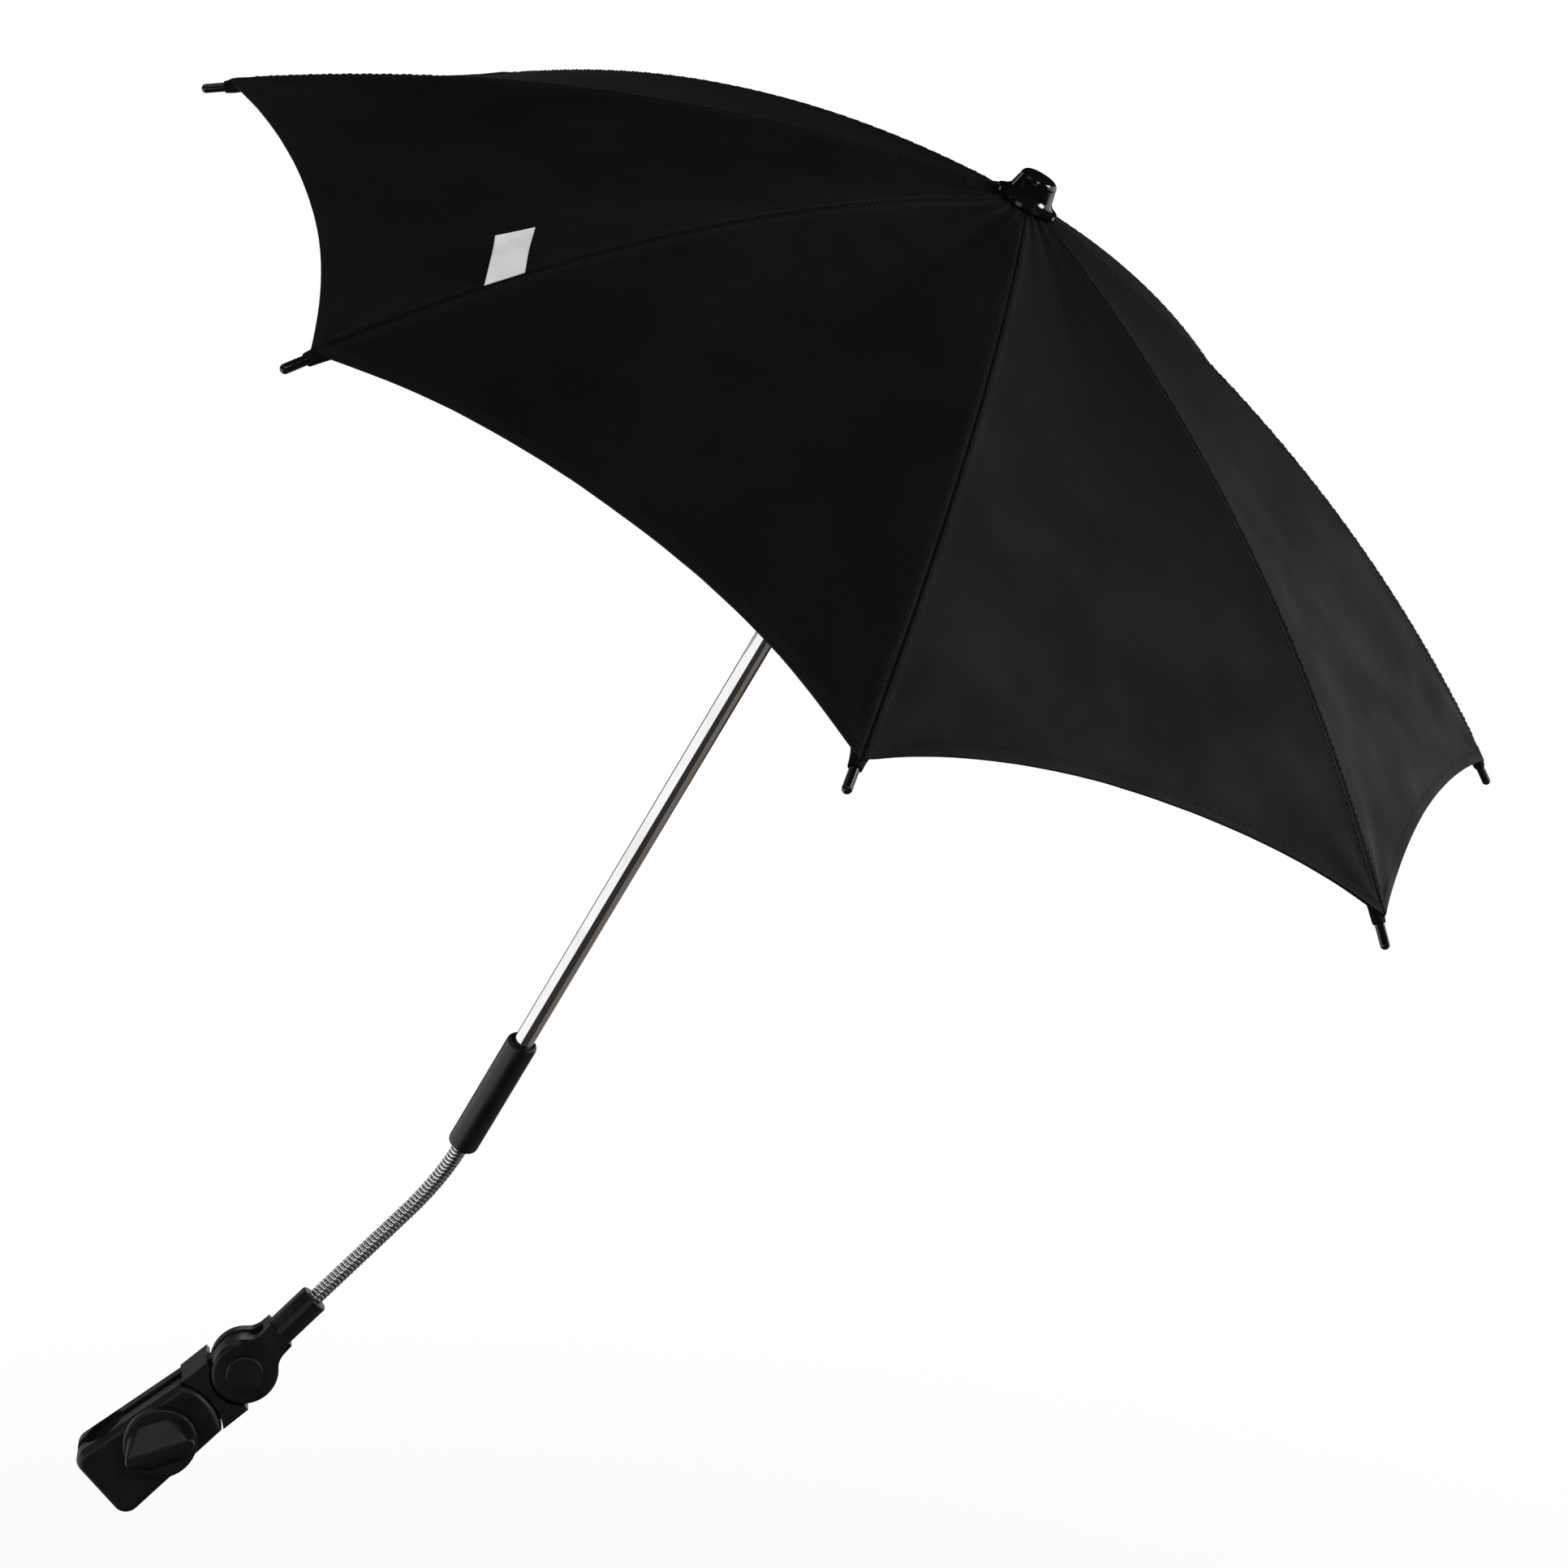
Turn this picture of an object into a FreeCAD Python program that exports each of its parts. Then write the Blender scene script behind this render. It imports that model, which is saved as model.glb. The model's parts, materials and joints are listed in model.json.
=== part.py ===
import FreeCAD, Part
import math
import os

V = FreeCAD.Vector

# A clamp-on pram parasol. Lengths in millimetres, angles in degrees, +Z up.
# The origin is the centre of the frame tube that the clamp grips.
# Every piece is made in the frame of its own sub-assembly and then placed.

# Stance of the photographed pose
CLAMP_PITCH = 38.48        # clamp's long axis above the horizontal
ARM_PITCH = 43.92          # socket arm above the horizontal
POLE_LEAN = 32.78          # pole from the vertical
POLE_HEADING = -46.29      # heading of that lean
RIB_PHASE = -144.39        # first rib round the pole

# Fits
RUN_FIT = 0.05             # shaft in its own bore, radial
SEAT_FIT = 0.02            # fixed piece in its seat, radial
SKIN_GAP = 0.3             # between pieces that only lie beside one another
OVERRUN = 5.0              # how far a cutter runs past the face it opens

# Clamp
TUBE_R = 11.0              # frame tube that the pads grip
PAD_T = 1.8                # rubber pad
PAD_LENGTH = 36.0          # pad along the tube
JAW_GAP = 9.0              # between the flat faces of the two jaws
JAW_T = 11.0               # jaw plate
JAW_TAIL = 22.0            # jaw's free end, past the tube centre
JAW_HALF_W = 24.0          # at the free end
JAW_NECK_HALF_W = 18.5     # at the rounded end
JAW_CORNER_R = 8.0
JAW_EDGE_R = 4.5           # rounded front edge of the jaw
JAW_NOSE_R = 34.0          # rounded end, about the screw
SCREW_OFFSET = 22.0        # screw from the tube centre, along the clamp
SCREW_R = 3.0
SCREW_PLAY = 0.4           # jaw's hole over the screw
SCREW_LENGTH = 43.2
JAW_CLOSE = 2.0            # how far the jaw can close from this pose
SCREW_HEAD_R = 5.2         # sunk head in the rear jaw
SCREW_HEAD_T = 3.0
GUIDE_R = 2.0              # two pins that keep the jaw from turning
GUIDE_SPREAD = 13.0        # each pin from the middle
GUIDE_OFFSET = 12.0        # pins past the screw, along the clamp
GUIDE_FLOOR = 1.0          # jaw's wall in front of a pin's hole
SPRING_R = 4.9             # to the middle of the spring wire
SPRING_WIRE_R = 0.45
SPRING_TURNS = 4
NOSE_GAP = 0.9             # between the jaw's rounded end and the body
BLOCK_FRONT = 13.0         # body's block in front of the middle plane
KNOB_R = 20.5
KNOB_DISC_T = 4.5
KNOB_EDGE_R = 1.6
WING_LENGTH = 39.0
WING_T = 26.0              # wing across its length, at the root
WING_TOP_T = 5.5
WING_HEIGHT = 13.0
WING_TURN = 22.5           # wing's direction, from the clamp's long axis

# Swivel and socket arm
EAR_OFFSET = 81.2          # swivel from the tube centre, along the clamp
EAR_R = 19.0
EAR_T = 8.7
TONGUE_T = 9.2             # clamp body's tongue between the ears
EAR_GAP = 0.35
TONGUE_R = 18.0
TONGUE_SEAT = 23.0         # bottom of the fork, from the swivel
BLOCK_GAP = 0.7            # ears to the body's block
BLOCK_STOP = 12.0          # block's end, short of the swivel
BOLT_R = 3.5
BUTTON_R = 10.5
BUTTON_T = 3.0
BUTTON_EDGE_R = 1.2
EAR_EDGE_R = 3.0
EAR_BLEND_R = 10.0         # hollow between the ear and the socket
ARM_LENGTH = 54.6          # swivel to the rim of the socket
SOCKET_R = 8.8
SOCKET_START = 28.0        # from here on the arm is round
SOCKET_RIM_R = 1.2
SOCKET_DEPTH = 12.0        # neck's end inside the arm

# Neck
NECK_STRAIGHT = 71.6       # straight stretch above the socket arm
NECK_ARC = 52.3            # bent stretch below the sleeve
NECK_R = 4.6               # crest of the ribs
NECK_GROOVE_R = 3.8
NECK_BORE_R = 2.6
NECK_RIBS = 48
CREST_SHARE = 0.4          # of a rib's pitch

# Pole and sleeve
POLE_R = 5.6
POLE_WALL = 0.9
POLE_LENGTH = 537.4        # canopy's top to the top of the sleeve
SLEEVE_R = 8.9
SLEEVE_LENGTH = 81.3
SLEEVE_EDGE_R = 3.0
SLEEVE_NECK_DEPTH = 12.0   # neck's end inside the sleeve
SLEEVE_POLE_DEPTH = 56.0   # pole's end inside the sleeve
DIMPLE_R = 2.4
DIMPLE_DEPTH = 0.7
DIMPLE_AT = 40.0           # below the sleeve's top
POLE_STICKOUT = 9.0        # pole's end above the canopy's top, inside the cap

# Canopy
RIB_COUNT = 8
CANOPY_R = 350.0           # to the fabric's corners
CANOPY_DROP = 131.5        # corners below the canopy's top
CROWN_R = 10.0             # where the ribs' line starts
RIB_TURN = 25.0            # turn of the rib's arc
FABRIC_T = 0.8
FABRIC_START_R = 12.8
RIB_DEPTH = 3.4            # rib's centre below the fabric's top
RIB_R = 1.4
CREASE_SAG = 7.0           # middle of a panel below the line between its ribs
HEM_CUT = 25.0             # hem's hollow between two ribs
TIP_R = 2.1
TIP_LENGTH = 13.0
TIP_SOCKET = 5.0           # rib's end inside the tip
TAG_WIDTH = 19.0
TAG_LENGTH = 29.5
TAG_T = 0.6
TAG_RIB = 1
TAG_SHARE = 0.76           # of the rib, from the crown
TAG_SKEW = 22.0            # towards the crown, from square to the seam
TAG_LIFT = 20.0            # off the panel

# Fold mechanism
STRETCH = 150.0            # crown hinge to stretcher pivot, and the stretcher's length
HINGE_R = 10.0             # hinge circle of crown and runner
EYE_R = 2.0
EYE_T = 2.6
WIRE_R = 0.7
HUB_R = 14.6
HUB_T = 7.4
HUB_TOP = 2.2              # hub's top below the canopy's top
HUB_CORE_R = 7.6
SLOT_W = 3.4
RUNNER_FIT = 0.3           # runner on the pole
RUNNER_BARREL_R = 9.0
RUNNER_LENGTH = 40.0
RUNNER_EDGE_R = 1.5
STRETCH_R = 1.3
FORK_T = 0.9
FORK_GAP = 0.25
FORK_HALF_H = 1.6
FORK_REACH = 19.0          # fork's cheeks along the stretcher
FORK_SLOT = 15.5           # fork's open depth from the pin
RIVET_R = 0.7
BUTTON_WIDTH = 7.0         # runner's push button
BUTTON_HEIGHT = 11.0
BUTTON_PROUD = 2.2
BUTTON_SEAT = 1.6          # button's inner end, from the pole
BUTTON_DROP = 20.0         # below the runner's top

# Top cap
CAP_FLANGE_R = 15.6
CAP_NECK_R = 10.9
CAP_TOP_R = 9.4
CAP_HEIGHT = 14.0
CAP_RIM_T = 1.6
CAP_WALL = 1.5
CAP_TOP_ROUND = 3.4

HALF_STEP = 180.0 / RIB_COUNT
X_AXIS = V(1, 0, 0)
Y_AXIS = V(0, 1, 0)
Z_AXIS = V(0, 0, 1)


def pitched(angle):
    """Rotation that lifts +X by an angle towards +Z."""
    return FreeCAD.Rotation(Y_AXIS, -angle)


# Placement chain: clamp, swivel, neck, pole
clamp_rotation = pitched(CLAMP_PITCH)
arm_rotation = pitched(ARM_PITCH)
pole_rotation = (
    FreeCAD.Rotation(Z_AXIS, POLE_HEADING)
    * FreeCAD.Rotation(Y_AXIS, POLE_LEAN)
    * FreeCAD.Rotation(Z_AXIS, RIB_PHASE)
)
clamp_along = clamp_rotation.multVec(X_AXIS)
arm_along = arm_rotation.multVec(X_AXIS)
pole_along = pole_rotation.multVec(Z_AXIS)
swivel_at = clamp_along * EAR_OFFSET
neck_start = swivel_at + arm_along * ARM_LENGTH
NECK_BEND = math.degrees(arm_along.getAngle(pole_along))
NECK_RADIUS = NECK_ARC / math.radians(NECK_BEND)
neck_leg = NECK_RADIUS * math.tan(math.radians(NECK_BEND) / 2)
neck_turn = neck_start + arm_along * NECK_STRAIGHT
neck_corner = neck_turn + arm_along * neck_leg
neck_end = neck_corner + pole_along * neck_leg
canopy_top = neck_end + pole_along * (POLE_LENGTH + SLEEVE_LENGTH)

CLAMP = FreeCAD.Placement(V(0, 0, 0), clamp_rotation)
ARM = FreeCAD.Placement(swivel_at, arm_rotation)
POLE = FreeCAD.Placement(canopy_top, pole_rotation)


def export(shape, node, placement):
    """Writes one node, moved from its sub-assembly's frame to the shared one."""
    placed = shape.copy()
    placed.Placement = placement.multiply(shape.Placement)
    placed.exportStep("parts/%s.step" % node)
    return placed


def rounded(shape, radius, test):
    """Fillets the edges of a shape whose middle point passes a test."""
    edges = [e for e in shape.Edges if test(e.valueAt((e.FirstParameter + e.LastParameter) / 2), e)]
    return shape.makeFillet(radius, edges)


def rod(start, end, radius):
    return Part.makeCylinder(radius, (end - start).Length, start, end - start)


def ring(radius, wire_r, height):
    return Part.makeTorus(radius, wire_r, V(0, 0, height))


def cap_rod(radius, length, base, direction):
    """Rod with a round far end."""
    direction = V(direction)
    direction.normalize()
    end = base + direction * (length - radius)
    return rod(base, end, radius).fuse(Part.makeSphere(radius, end)).removeSplitter()


# Clamp

jaw_face = JAW_GAP / 2
jaw_back = jaw_face + JAW_T
nose_side = math.sqrt(JAW_NOSE_R ** 2 - JAW_NECK_HALF_W ** 2)


def jaw_outline():
    """Face of the jaw plate in the clamp's XZ plane: square free end, round nose about the screw."""
    a = V(-JAW_TAIL, 0, -JAW_HALF_W)
    b = V(SCREW_OFFSET + nose_side, 0, -JAW_NECK_HALF_W)
    tip = V(SCREW_OFFSET + JAW_NOSE_R, 0, 0)
    c = V(b.x, 0, JAW_NECK_HALF_W)
    d = V(a.x, 0, JAW_HALF_W)
    edges = [
        Part.LineSegment(a, b).toShape(),
        Part.Arc(b, tip, c).toShape(),
        Part.LineSegment(c, d).toShape(),
        Part.LineSegment(d, a).toShape(),
    ]
    return Part.Face(Part.Wire(edges))


def jaw_plate():
    plate = jaw_outline().extrude(V(0, JAW_T, 0))
    return rounded(plate, JAW_CORNER_R, lambda m, e: m.x < -JAW_TAIL + JAW_EDGE_R / 2
                   and abs(m.z) > JAW_HALF_W - JAW_EDGE_R)


def trough(radius):
    """Round channel along the gripped tube."""
    half = JAW_HALF_W + OVERRUN
    return Part.makeCylinder(radius, 2 * half, V(0, 0, -half), Z_AXIS)


def along_screw(radius, front, back):
    """Cylinder on the screw's axis between two depths."""
    return Part.makeCylinder(radius, back - front, V(SCREW_OFFSET, front, 0), Y_AXIS)


def guide(side, radius, front, back):
    at = V(SCREW_OFFSET + GUIDE_OFFSET, front, side * GUIDE_SPREAD)
    return Part.makeCylinder(radius, back - front, at, Y_AXIS)


def clamp_jaw():
    jaw = jaw_plate()
    jaw.translate(V(0, -jaw_back, 0))
    jaw = rounded(jaw, JAW_EDGE_R, lambda m, e: m.y < -jaw_back + JAW_EDGE_R / 2)
    jaw = jaw.cut(trough(TUBE_R + PAD_T + SEAT_FIT))
    jaw = jaw.cut(along_screw(SCREW_R + SCREW_PLAY, -jaw_back - OVERRUN, OVERRUN))
    for side in (-1, 1):
        jaw = jaw.cut(guide(side, GUIDE_R + RUN_FIT, -jaw_back + GUIDE_FLOOR, OVERRUN))
    return jaw


def clamp_body():
    """Rear jaw, the block that faces the jaw's nose, and the swivel's tongue."""
    rear = jaw_plate()
    rear.translate(V(0, jaw_face, 0))
    rear = rounded(rear, JAW_EDGE_R, lambda m, e: m.y > jaw_back - JAW_EDGE_R / 2)
    block_start = SCREW_OFFSET + nose_side
    depth = BLOCK_FRONT + jaw_back
    block = Part.makeBox(EAR_OFFSET - BLOCK_STOP - block_start, depth, 2 * JAW_NECK_HALF_W,
                         V(block_start, -BLOCK_FRONT, -JAW_NECK_HALF_W))
    nose_cut = along_screw(JAW_NOSE_R + NOSE_GAP, -BLOCK_FRONT - OVERRUN, jaw_face)
    ear_at = V(EAR_OFFSET, -BLOCK_FRONT - OVERRUN, 0)
    ear_cut = Part.makeCylinder(EAR_R + BLOCK_GAP, depth + 2 * OVERRUN, ear_at, Y_AXIS)
    block = block.cut(nose_cut).cut(ear_cut)
    tongue_half = TONGUE_T / 2
    tongue = Part.makeCylinder(TONGUE_R, TONGUE_T, V(EAR_OFFSET, -tongue_half, 0), Y_AXIS)
    root_start = SCREW_OFFSET + JAW_NOSE_R + NOSE_GAP
    root = Part.makeBox(EAR_OFFSET - root_start, TONGUE_T, 2 * TONGUE_R * math.cos(math.radians(HALF_STEP)),
                        V(root_start, -tongue_half, -TONGUE_R * math.cos(math.radians(HALF_STEP))))
    root = root.cut(along_screw(JAW_NOSE_R + NOSE_GAP, -BLOCK_FRONT, jaw_face))
    body = rear.fuse([block, tongue, root]).removeSplitter()
    body = body.cut(Part.makeCylinder(BOLT_R + RUN_FIT, TONGUE_T + 2 * OVERRUN,
                                      V(EAR_OFFSET, -tongue_half - OVERRUN, 0), Y_AXIS))
    body = body.cut(trough(TUBE_R + PAD_T + SEAT_FIT))
    body = body.cut(along_screw(SCREW_R + SEAT_FIT, 0, jaw_back + OVERRUN))
    body = body.cut(along_screw(SCREW_HEAD_R + SEAT_FIT, jaw_back - SCREW_HEAD_T, jaw_back + OVERRUN))
    for side in (-1, 1):
        body = body.cut(guide(side, GUIDE_R + SEAT_FIT, 0, jaw_back - JAW_EDGE_R))
    return body


def jaw_pad(side):
    """Concave rubber pad: half of a ring, cut off at the jaw's flat face."""
    start = V(0, 0, -PAD_LENGTH / 2)
    pad = Part.makeCylinder(TUBE_R + PAD_T, PAD_LENGTH, start, Z_AXIS)
    pad = pad.cut(Part.makeCylinder(TUBE_R, PAD_LENGTH + 2 * OVERRUN, start - V(0, 0, OVERRUN), Z_AXIS))
    half = TUBE_R + PAD_T + OVERRUN
    keep = Part.makeBox(2 * half, half, PAD_LENGTH, V(-half, jaw_face, -PAD_LENGTH / 2))
    pad = pad.common(keep)
    if side < 0:
        pad = pad.mirror(V(0, 0, 0), Y_AXIS)
    return pad


def clamp_screw():
    """Stud with a sunk head in the rear jaw."""
    back = jaw_back - SEAT_FIT
    stud = along_screw(SCREW_R, back - SCREW_LENGTH, back)
    head = along_screw(SCREW_HEAD_R, back - SCREW_HEAD_T + SEAT_FIT, back)
    return stud.fuse(head).removeSplitter()


def guide_pins():
    front = -jaw_back + GUIDE_FLOOR + JAW_CLOSE + SKIN_GAP
    return Part.makeCompound([guide(s, GUIDE_R, front, jaw_back - JAW_EDGE_R - SEAT_FIT) for s in (-1, 1)])


def wing():
    """Tapered grip bar across the knob's disc, round at both ends."""
    sections = []
    for depth, width in ((0, WING_T), (WING_HEIGHT, WING_TOP_T)):
        reach = (WING_LENGTH - width) / 2
        r = width / 2
        p = [V(-reach, -depth, -r), V(reach, -depth, -r), V(reach, -depth, r), V(-reach, -depth, r)]
        edges = [
            Part.LineSegment(p[0], p[1]).toShape(),
            Part.Arc(p[1], V(reach + r, -depth, 0), p[2]).toShape(),
            Part.LineSegment(p[2], p[3]).toShape(),
            Part.Arc(p[3], V(-reach - r, -depth, 0), p[0]).toShape(),
        ]
        sections.append(Part.Wire(edges))
    return Part.makeLoft(sections, True)


def clamp_knob():
    seat = -jaw_back - SKIN_GAP
    face = seat - KNOB_DISC_T
    disc = along_screw(KNOB_R, face, seat)
    disc = rounded(disc, KNOB_EDGE_R, lambda m, e: m.y < face + KNOB_EDGE_R / 2)
    bar = wing()
    bar.rotate(V(0, 0, 0), Y_AXIS, WING_TURN)
    bar.translate(V(SCREW_OFFSET, face, 0))
    bar = rounded(bar, KNOB_EDGE_R, lambda m, e: m.y < face - WING_HEIGHT + KNOB_EDGE_R / 2)
    knob = disc.fuse(bar).removeSplitter()
    screw_end = jaw_back - SEAT_FIT - SCREW_LENGTH
    bore_end = screw_end - JAW_CLOSE - SKIN_GAP
    return knob.cut(along_screw(SCREW_R + RUN_FIT, bore_end, seat + OVERRUN))


def helix_points(turns, radius, pitch, steps):
    """Points and directions on a helix about +Y, each given number of steps to a turn."""
    out = []
    for i in range(turns * steps + 1):
        a = 2 * math.pi * i / steps
        point = V(radius * math.cos(a), pitch * i / steps, radius * math.sin(a))
        heading = V(-radius * math.sin(a), pitch / (2 * math.pi), radius * math.cos(a))
        heading.normalize()
        out.append((point, heading))
    return out


def arc_in_corner(start, corner, end):
    """Arc that touches both legs of a corner whose legs are equal."""
    middle = (start + end) * 0.5
    half = (end - start).Length / 2
    rise = corner - middle
    lean = math.atan2(rise.Length, half)
    top = middle + rise * (half * math.tan(lean / 2) / rise.Length)
    return Part.Arc(start, top, end).toShape()


def biarc(p0, t0, p1, t1):
    """Two arcs with one tangent between two points and directions."""
    v = p1 - p0
    t = t0 + t1
    k = 2 * (1 - t0.dot(t1))
    b = 2 * v.dot(t)
    d = (-b + math.sqrt(b * b + 4 * k * v.dot(v))) / (2 * k)
    q0 = p0 + t0 * d
    q1 = p1 - t1 * d
    joint = (q0 + q1) * 0.5
    return [arc_in_corner(p0, q0, joint), arc_in_corner(joint, q1, p1)]


def wound_tube(stations, radius):
    """One unbroken tube on biarcs through the stations, with a straight run at each end."""
    first, first_to = stations[0]
    last, last_to = stations[-1]
    run = 2 * radius
    edges = [Part.LineSegment(first - first_to * run, first).toShape()]
    for (p0, t0), (p1, t1) in zip(stations, stations[1:]):
        edges += biarc(p0, t0, p1, t1)
    edges.append(Part.LineSegment(last, last + last_to * run).toShape())
    start = first - first_to * run
    section = Part.Wire(Part.Circle(start, first_to, radius).toShape())
    shell = Part.BRepOffsetAPI.MakePipeShell(Part.Wire(edges))
    shell.add(section)
    shell.build()
    shell.makeSolid()
    return shell.shape()


def clamp_spring():
    room = JAW_GAP - 2 * SKIN_GAP - 2 * SPRING_WIRE_R
    pitch = room / SPRING_TURNS
    spring = wound_tube(helix_points(SPRING_TURNS, SPRING_R, pitch, 4), SPRING_WIRE_R)
    spring.translate(V(SCREW_OFFSET, -room / 2, 0))
    print("spring's least gap to itself: %.2f mm" % (pitch - 2 * SPRING_WIRE_R))
    return spring


# Swivel and socket arm

ear_out = TONGUE_T / 2 + EAR_GAP + EAR_T


def arm_outline():
    """Side view of the arm: round ear, a hollow on each side, and the width of the socket."""
    hollow_x = math.sqrt((EAR_R + EAR_BLEND_R) ** 2 - (SOCKET_R + EAR_BLEND_R) ** 2)
    hollow = V(hollow_x, 0, SOCKET_R + EAR_BLEND_R)
    leave = hollow * (EAR_R / (EAR_R + EAR_BLEND_R))
    join = V(hollow_x, 0, SOCKET_R)
    inward = leave + join - hollow * 2
    inward.normalize()
    middle = hollow + inward * EAR_BLEND_R
    end = V(SOCKET_START, 0, SOCKET_R)
    upper = [leave, middle, join, end]
    lower = [V(p.x, 0, -p.z) for p in upper]
    edges = [
        Part.Arc(lower[0], V(-EAR_R, 0, 0), upper[0]).toShape(),
        Part.Arc(upper[0], upper[1], upper[2]).toShape(),
        Part.LineSegment(upper[2], upper[3]).toShape(),
        Part.LineSegment(upper[3], lower[3]).toShape(),
        Part.LineSegment(lower[3], lower[2]).toShape(),
        Part.Arc(lower[2], lower[1], lower[0]).toShape(),
    ]
    return Part.Face(Part.Wire(edges))


def arm_plan():
    """Top view of the arm: the ears' thickness narrows to the socket."""
    points = [V(-EAR_R - OVERRUN, -ear_out, 0), V(EAR_R / 2, -ear_out, 0), V(SOCKET_START, -SOCKET_R, 0),
              V(SOCKET_START, SOCKET_R, 0), V(EAR_R / 2, ear_out, 0), V(-EAR_R - OVERRUN, ear_out, 0)]
    return Part.Face(Part.makePolygon(points + points[:1]))


def socket_arm():
    block = arm_outline().extrude(V(0, 2 * ear_out, 0))
    block.translate(V(0, -ear_out, 0))
    plan = arm_plan().extrude(V(0, 0, 2 * EAR_R))
    plan.translate(V(0, 0, -EAR_R))
    block = rounded(block, EAR_EDGE_R, lambda m, e: abs(m.y) > ear_out - EAR_EDGE_R / 2
                    and m.x < SOCKET_START - EAR_EDGE_R)
    block = block.common(plan)
    socket = Part.makeCylinder(SOCKET_R, ARM_LENGTH - EAR_R, V(EAR_R, 0, 0), X_AXIS)
    socket = rounded(socket, SOCKET_RIM_R, lambda m, e: m.x > ARM_LENGTH - SOCKET_RIM_R / 2)
    arm = block.fuse(socket).removeSplitter()
    slot_half = TONGUE_T / 2 + EAR_GAP
    slot = Part.makeBox(EAR_R + OVERRUN + TONGUE_SEAT, 2 * slot_half, 2 * (EAR_R + OVERRUN),
                        V(-EAR_R - OVERRUN, -slot_half, -EAR_R - OVERRUN))
    arm = arm.cut(slot)
    past = ear_out + OVERRUN
    arm = arm.cut(Part.makeCylinder(BOLT_R + SEAT_FIT, 2 * past, V(0, -past, 0), Y_AXIS))
    floor_at = V(ARM_LENGTH - SOCKET_DEPTH, 0, 0)
    mouth = Part.makeCylinder(NECK_R + SEAT_FIT, SOCKET_DEPTH + OVERRUN, floor_at, X_AXIS)
    return arm.cut(mouth)


def button(side):
    """Low round head on the outside of an ear."""
    head = Part.makeCylinder(BUTTON_R, BUTTON_T, V(0, ear_out, 0), Y_AXIS)
    head = rounded(head, BUTTON_EDGE_R, lambda m, e: m.y > ear_out + BUTTON_T - BUTTON_EDGE_R / 2)
    return head if side > 0 else head.mirror(V(0, 0, 0), Y_AXIS)


def swivel_bolt():
    """Bolt with its round head in front, through both ears and the tongue."""
    shank = Part.makeCylinder(BOLT_R, 2 * ear_out, V(0, -ear_out, 0), Y_AXIS)
    return shank.fuse(button(-1)).removeSplitter()


# Neck, in the shared frame

NECK_LENGTH = NECK_STRAIGHT + NECK_ARC
straight_share = NECK_STRAIGHT / NECK_LENGTH
neck_axis = arm_along.cross(pole_along)
neck_axis.normalize()


def neck_frame(share):
    """Point and direction on the neck's middle line, straight first and then bent."""
    if share < straight_share:
        return neck_start + arm_along * (NECK_LENGTH * share), arm_along
    centre = neck_turn + neck_axis.cross(arm_along) * NECK_RADIUS
    turned_share = (share - straight_share) / (1 - straight_share)
    turn = FreeCAD.Rotation(neck_axis, NECK_BEND * turned_share)
    return centre + turn.multVec(neck_turn - centre), turn.multVec(arm_along)


def neck_circle(point, along, radius):
    circle = Part.Circle(point, along, radius)
    circle.XAxis = neck_axis
    return Part.Wire(circle.toShape())


def neck_hose():
    """Flexible metal neck: ribs with a crest and a groove each, a bore, and plain ends in their seats."""
    end_start = neck_start - arm_along * (SOCKET_DEPTH - SKIN_GAP)
    end_stop = neck_end + pole_along * (SLEEVE_NECK_DEPTH - SKIN_GAP)
    shoulder_share = (1 - CREST_SHARE) / 4
    profile = ((0, NECK_GROOVE_R), (shoulder_share, NECK_R), (shoulder_share + CREST_SHARE, NECK_R),
               (2 * shoulder_share + CREST_SHARE, NECK_GROOVE_R))
    wires = [neck_circle(end_start, arm_along, NECK_GROOVE_R)]
    for i in range(NECK_RIBS):
        for rib_share, radius in profile:
            point, along = neck_frame((i + rib_share) / NECK_RIBS)
            wires.append(neck_circle(point, along, radius))
    wires.append(neck_circle(end_stop, pole_along, NECK_GROOVE_R))
    skin = Part.makeLoft(wires, True, True)
    return skin.cut(neck_core(NECK_BORE_R, OVERRUN))


def neck_core(radius, extra):
    """Bendable rod inside the neck, with straight ends."""
    start = neck_start - arm_along * (SOCKET_DEPTH + extra)
    arc_middle = neck_frame((1 + straight_share) / 2)[0]
    path = Part.Wire([
        Part.LineSegment(start, neck_turn).toShape(),
        Part.Arc(neck_turn, arc_middle, neck_end).toShape(),
        Part.LineSegment(neck_end, neck_end + pole_along * (SLEEVE_NECK_DEPTH + extra)).toShape(),
    ])
    section = Part.Wire(Part.Circle(start, arm_along, radius).toShape())
    return path.makePipeShell([section], True, False)


# Pole assembly: the canopy's top is at the origin and the pole runs down -Z

sleeve_top = -POLE_LENGTH
sleeve_bottom = sleeve_top - SLEEVE_LENGTH


def tube(outer, inner, bottom, top):
    height = top - bottom
    whole = Part.makeCylinder(outer, height, V(0, 0, bottom))
    return whole.cut(Part.makeCylinder(inner, height + 2 * OVERRUN, V(0, 0, bottom - OVERRUN)))


def pole():
    return tube(POLE_R, POLE_R - POLE_WALL, sleeve_top - SLEEVE_POLE_DEPTH + SKIN_GAP, POLE_STICKOUT)


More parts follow.
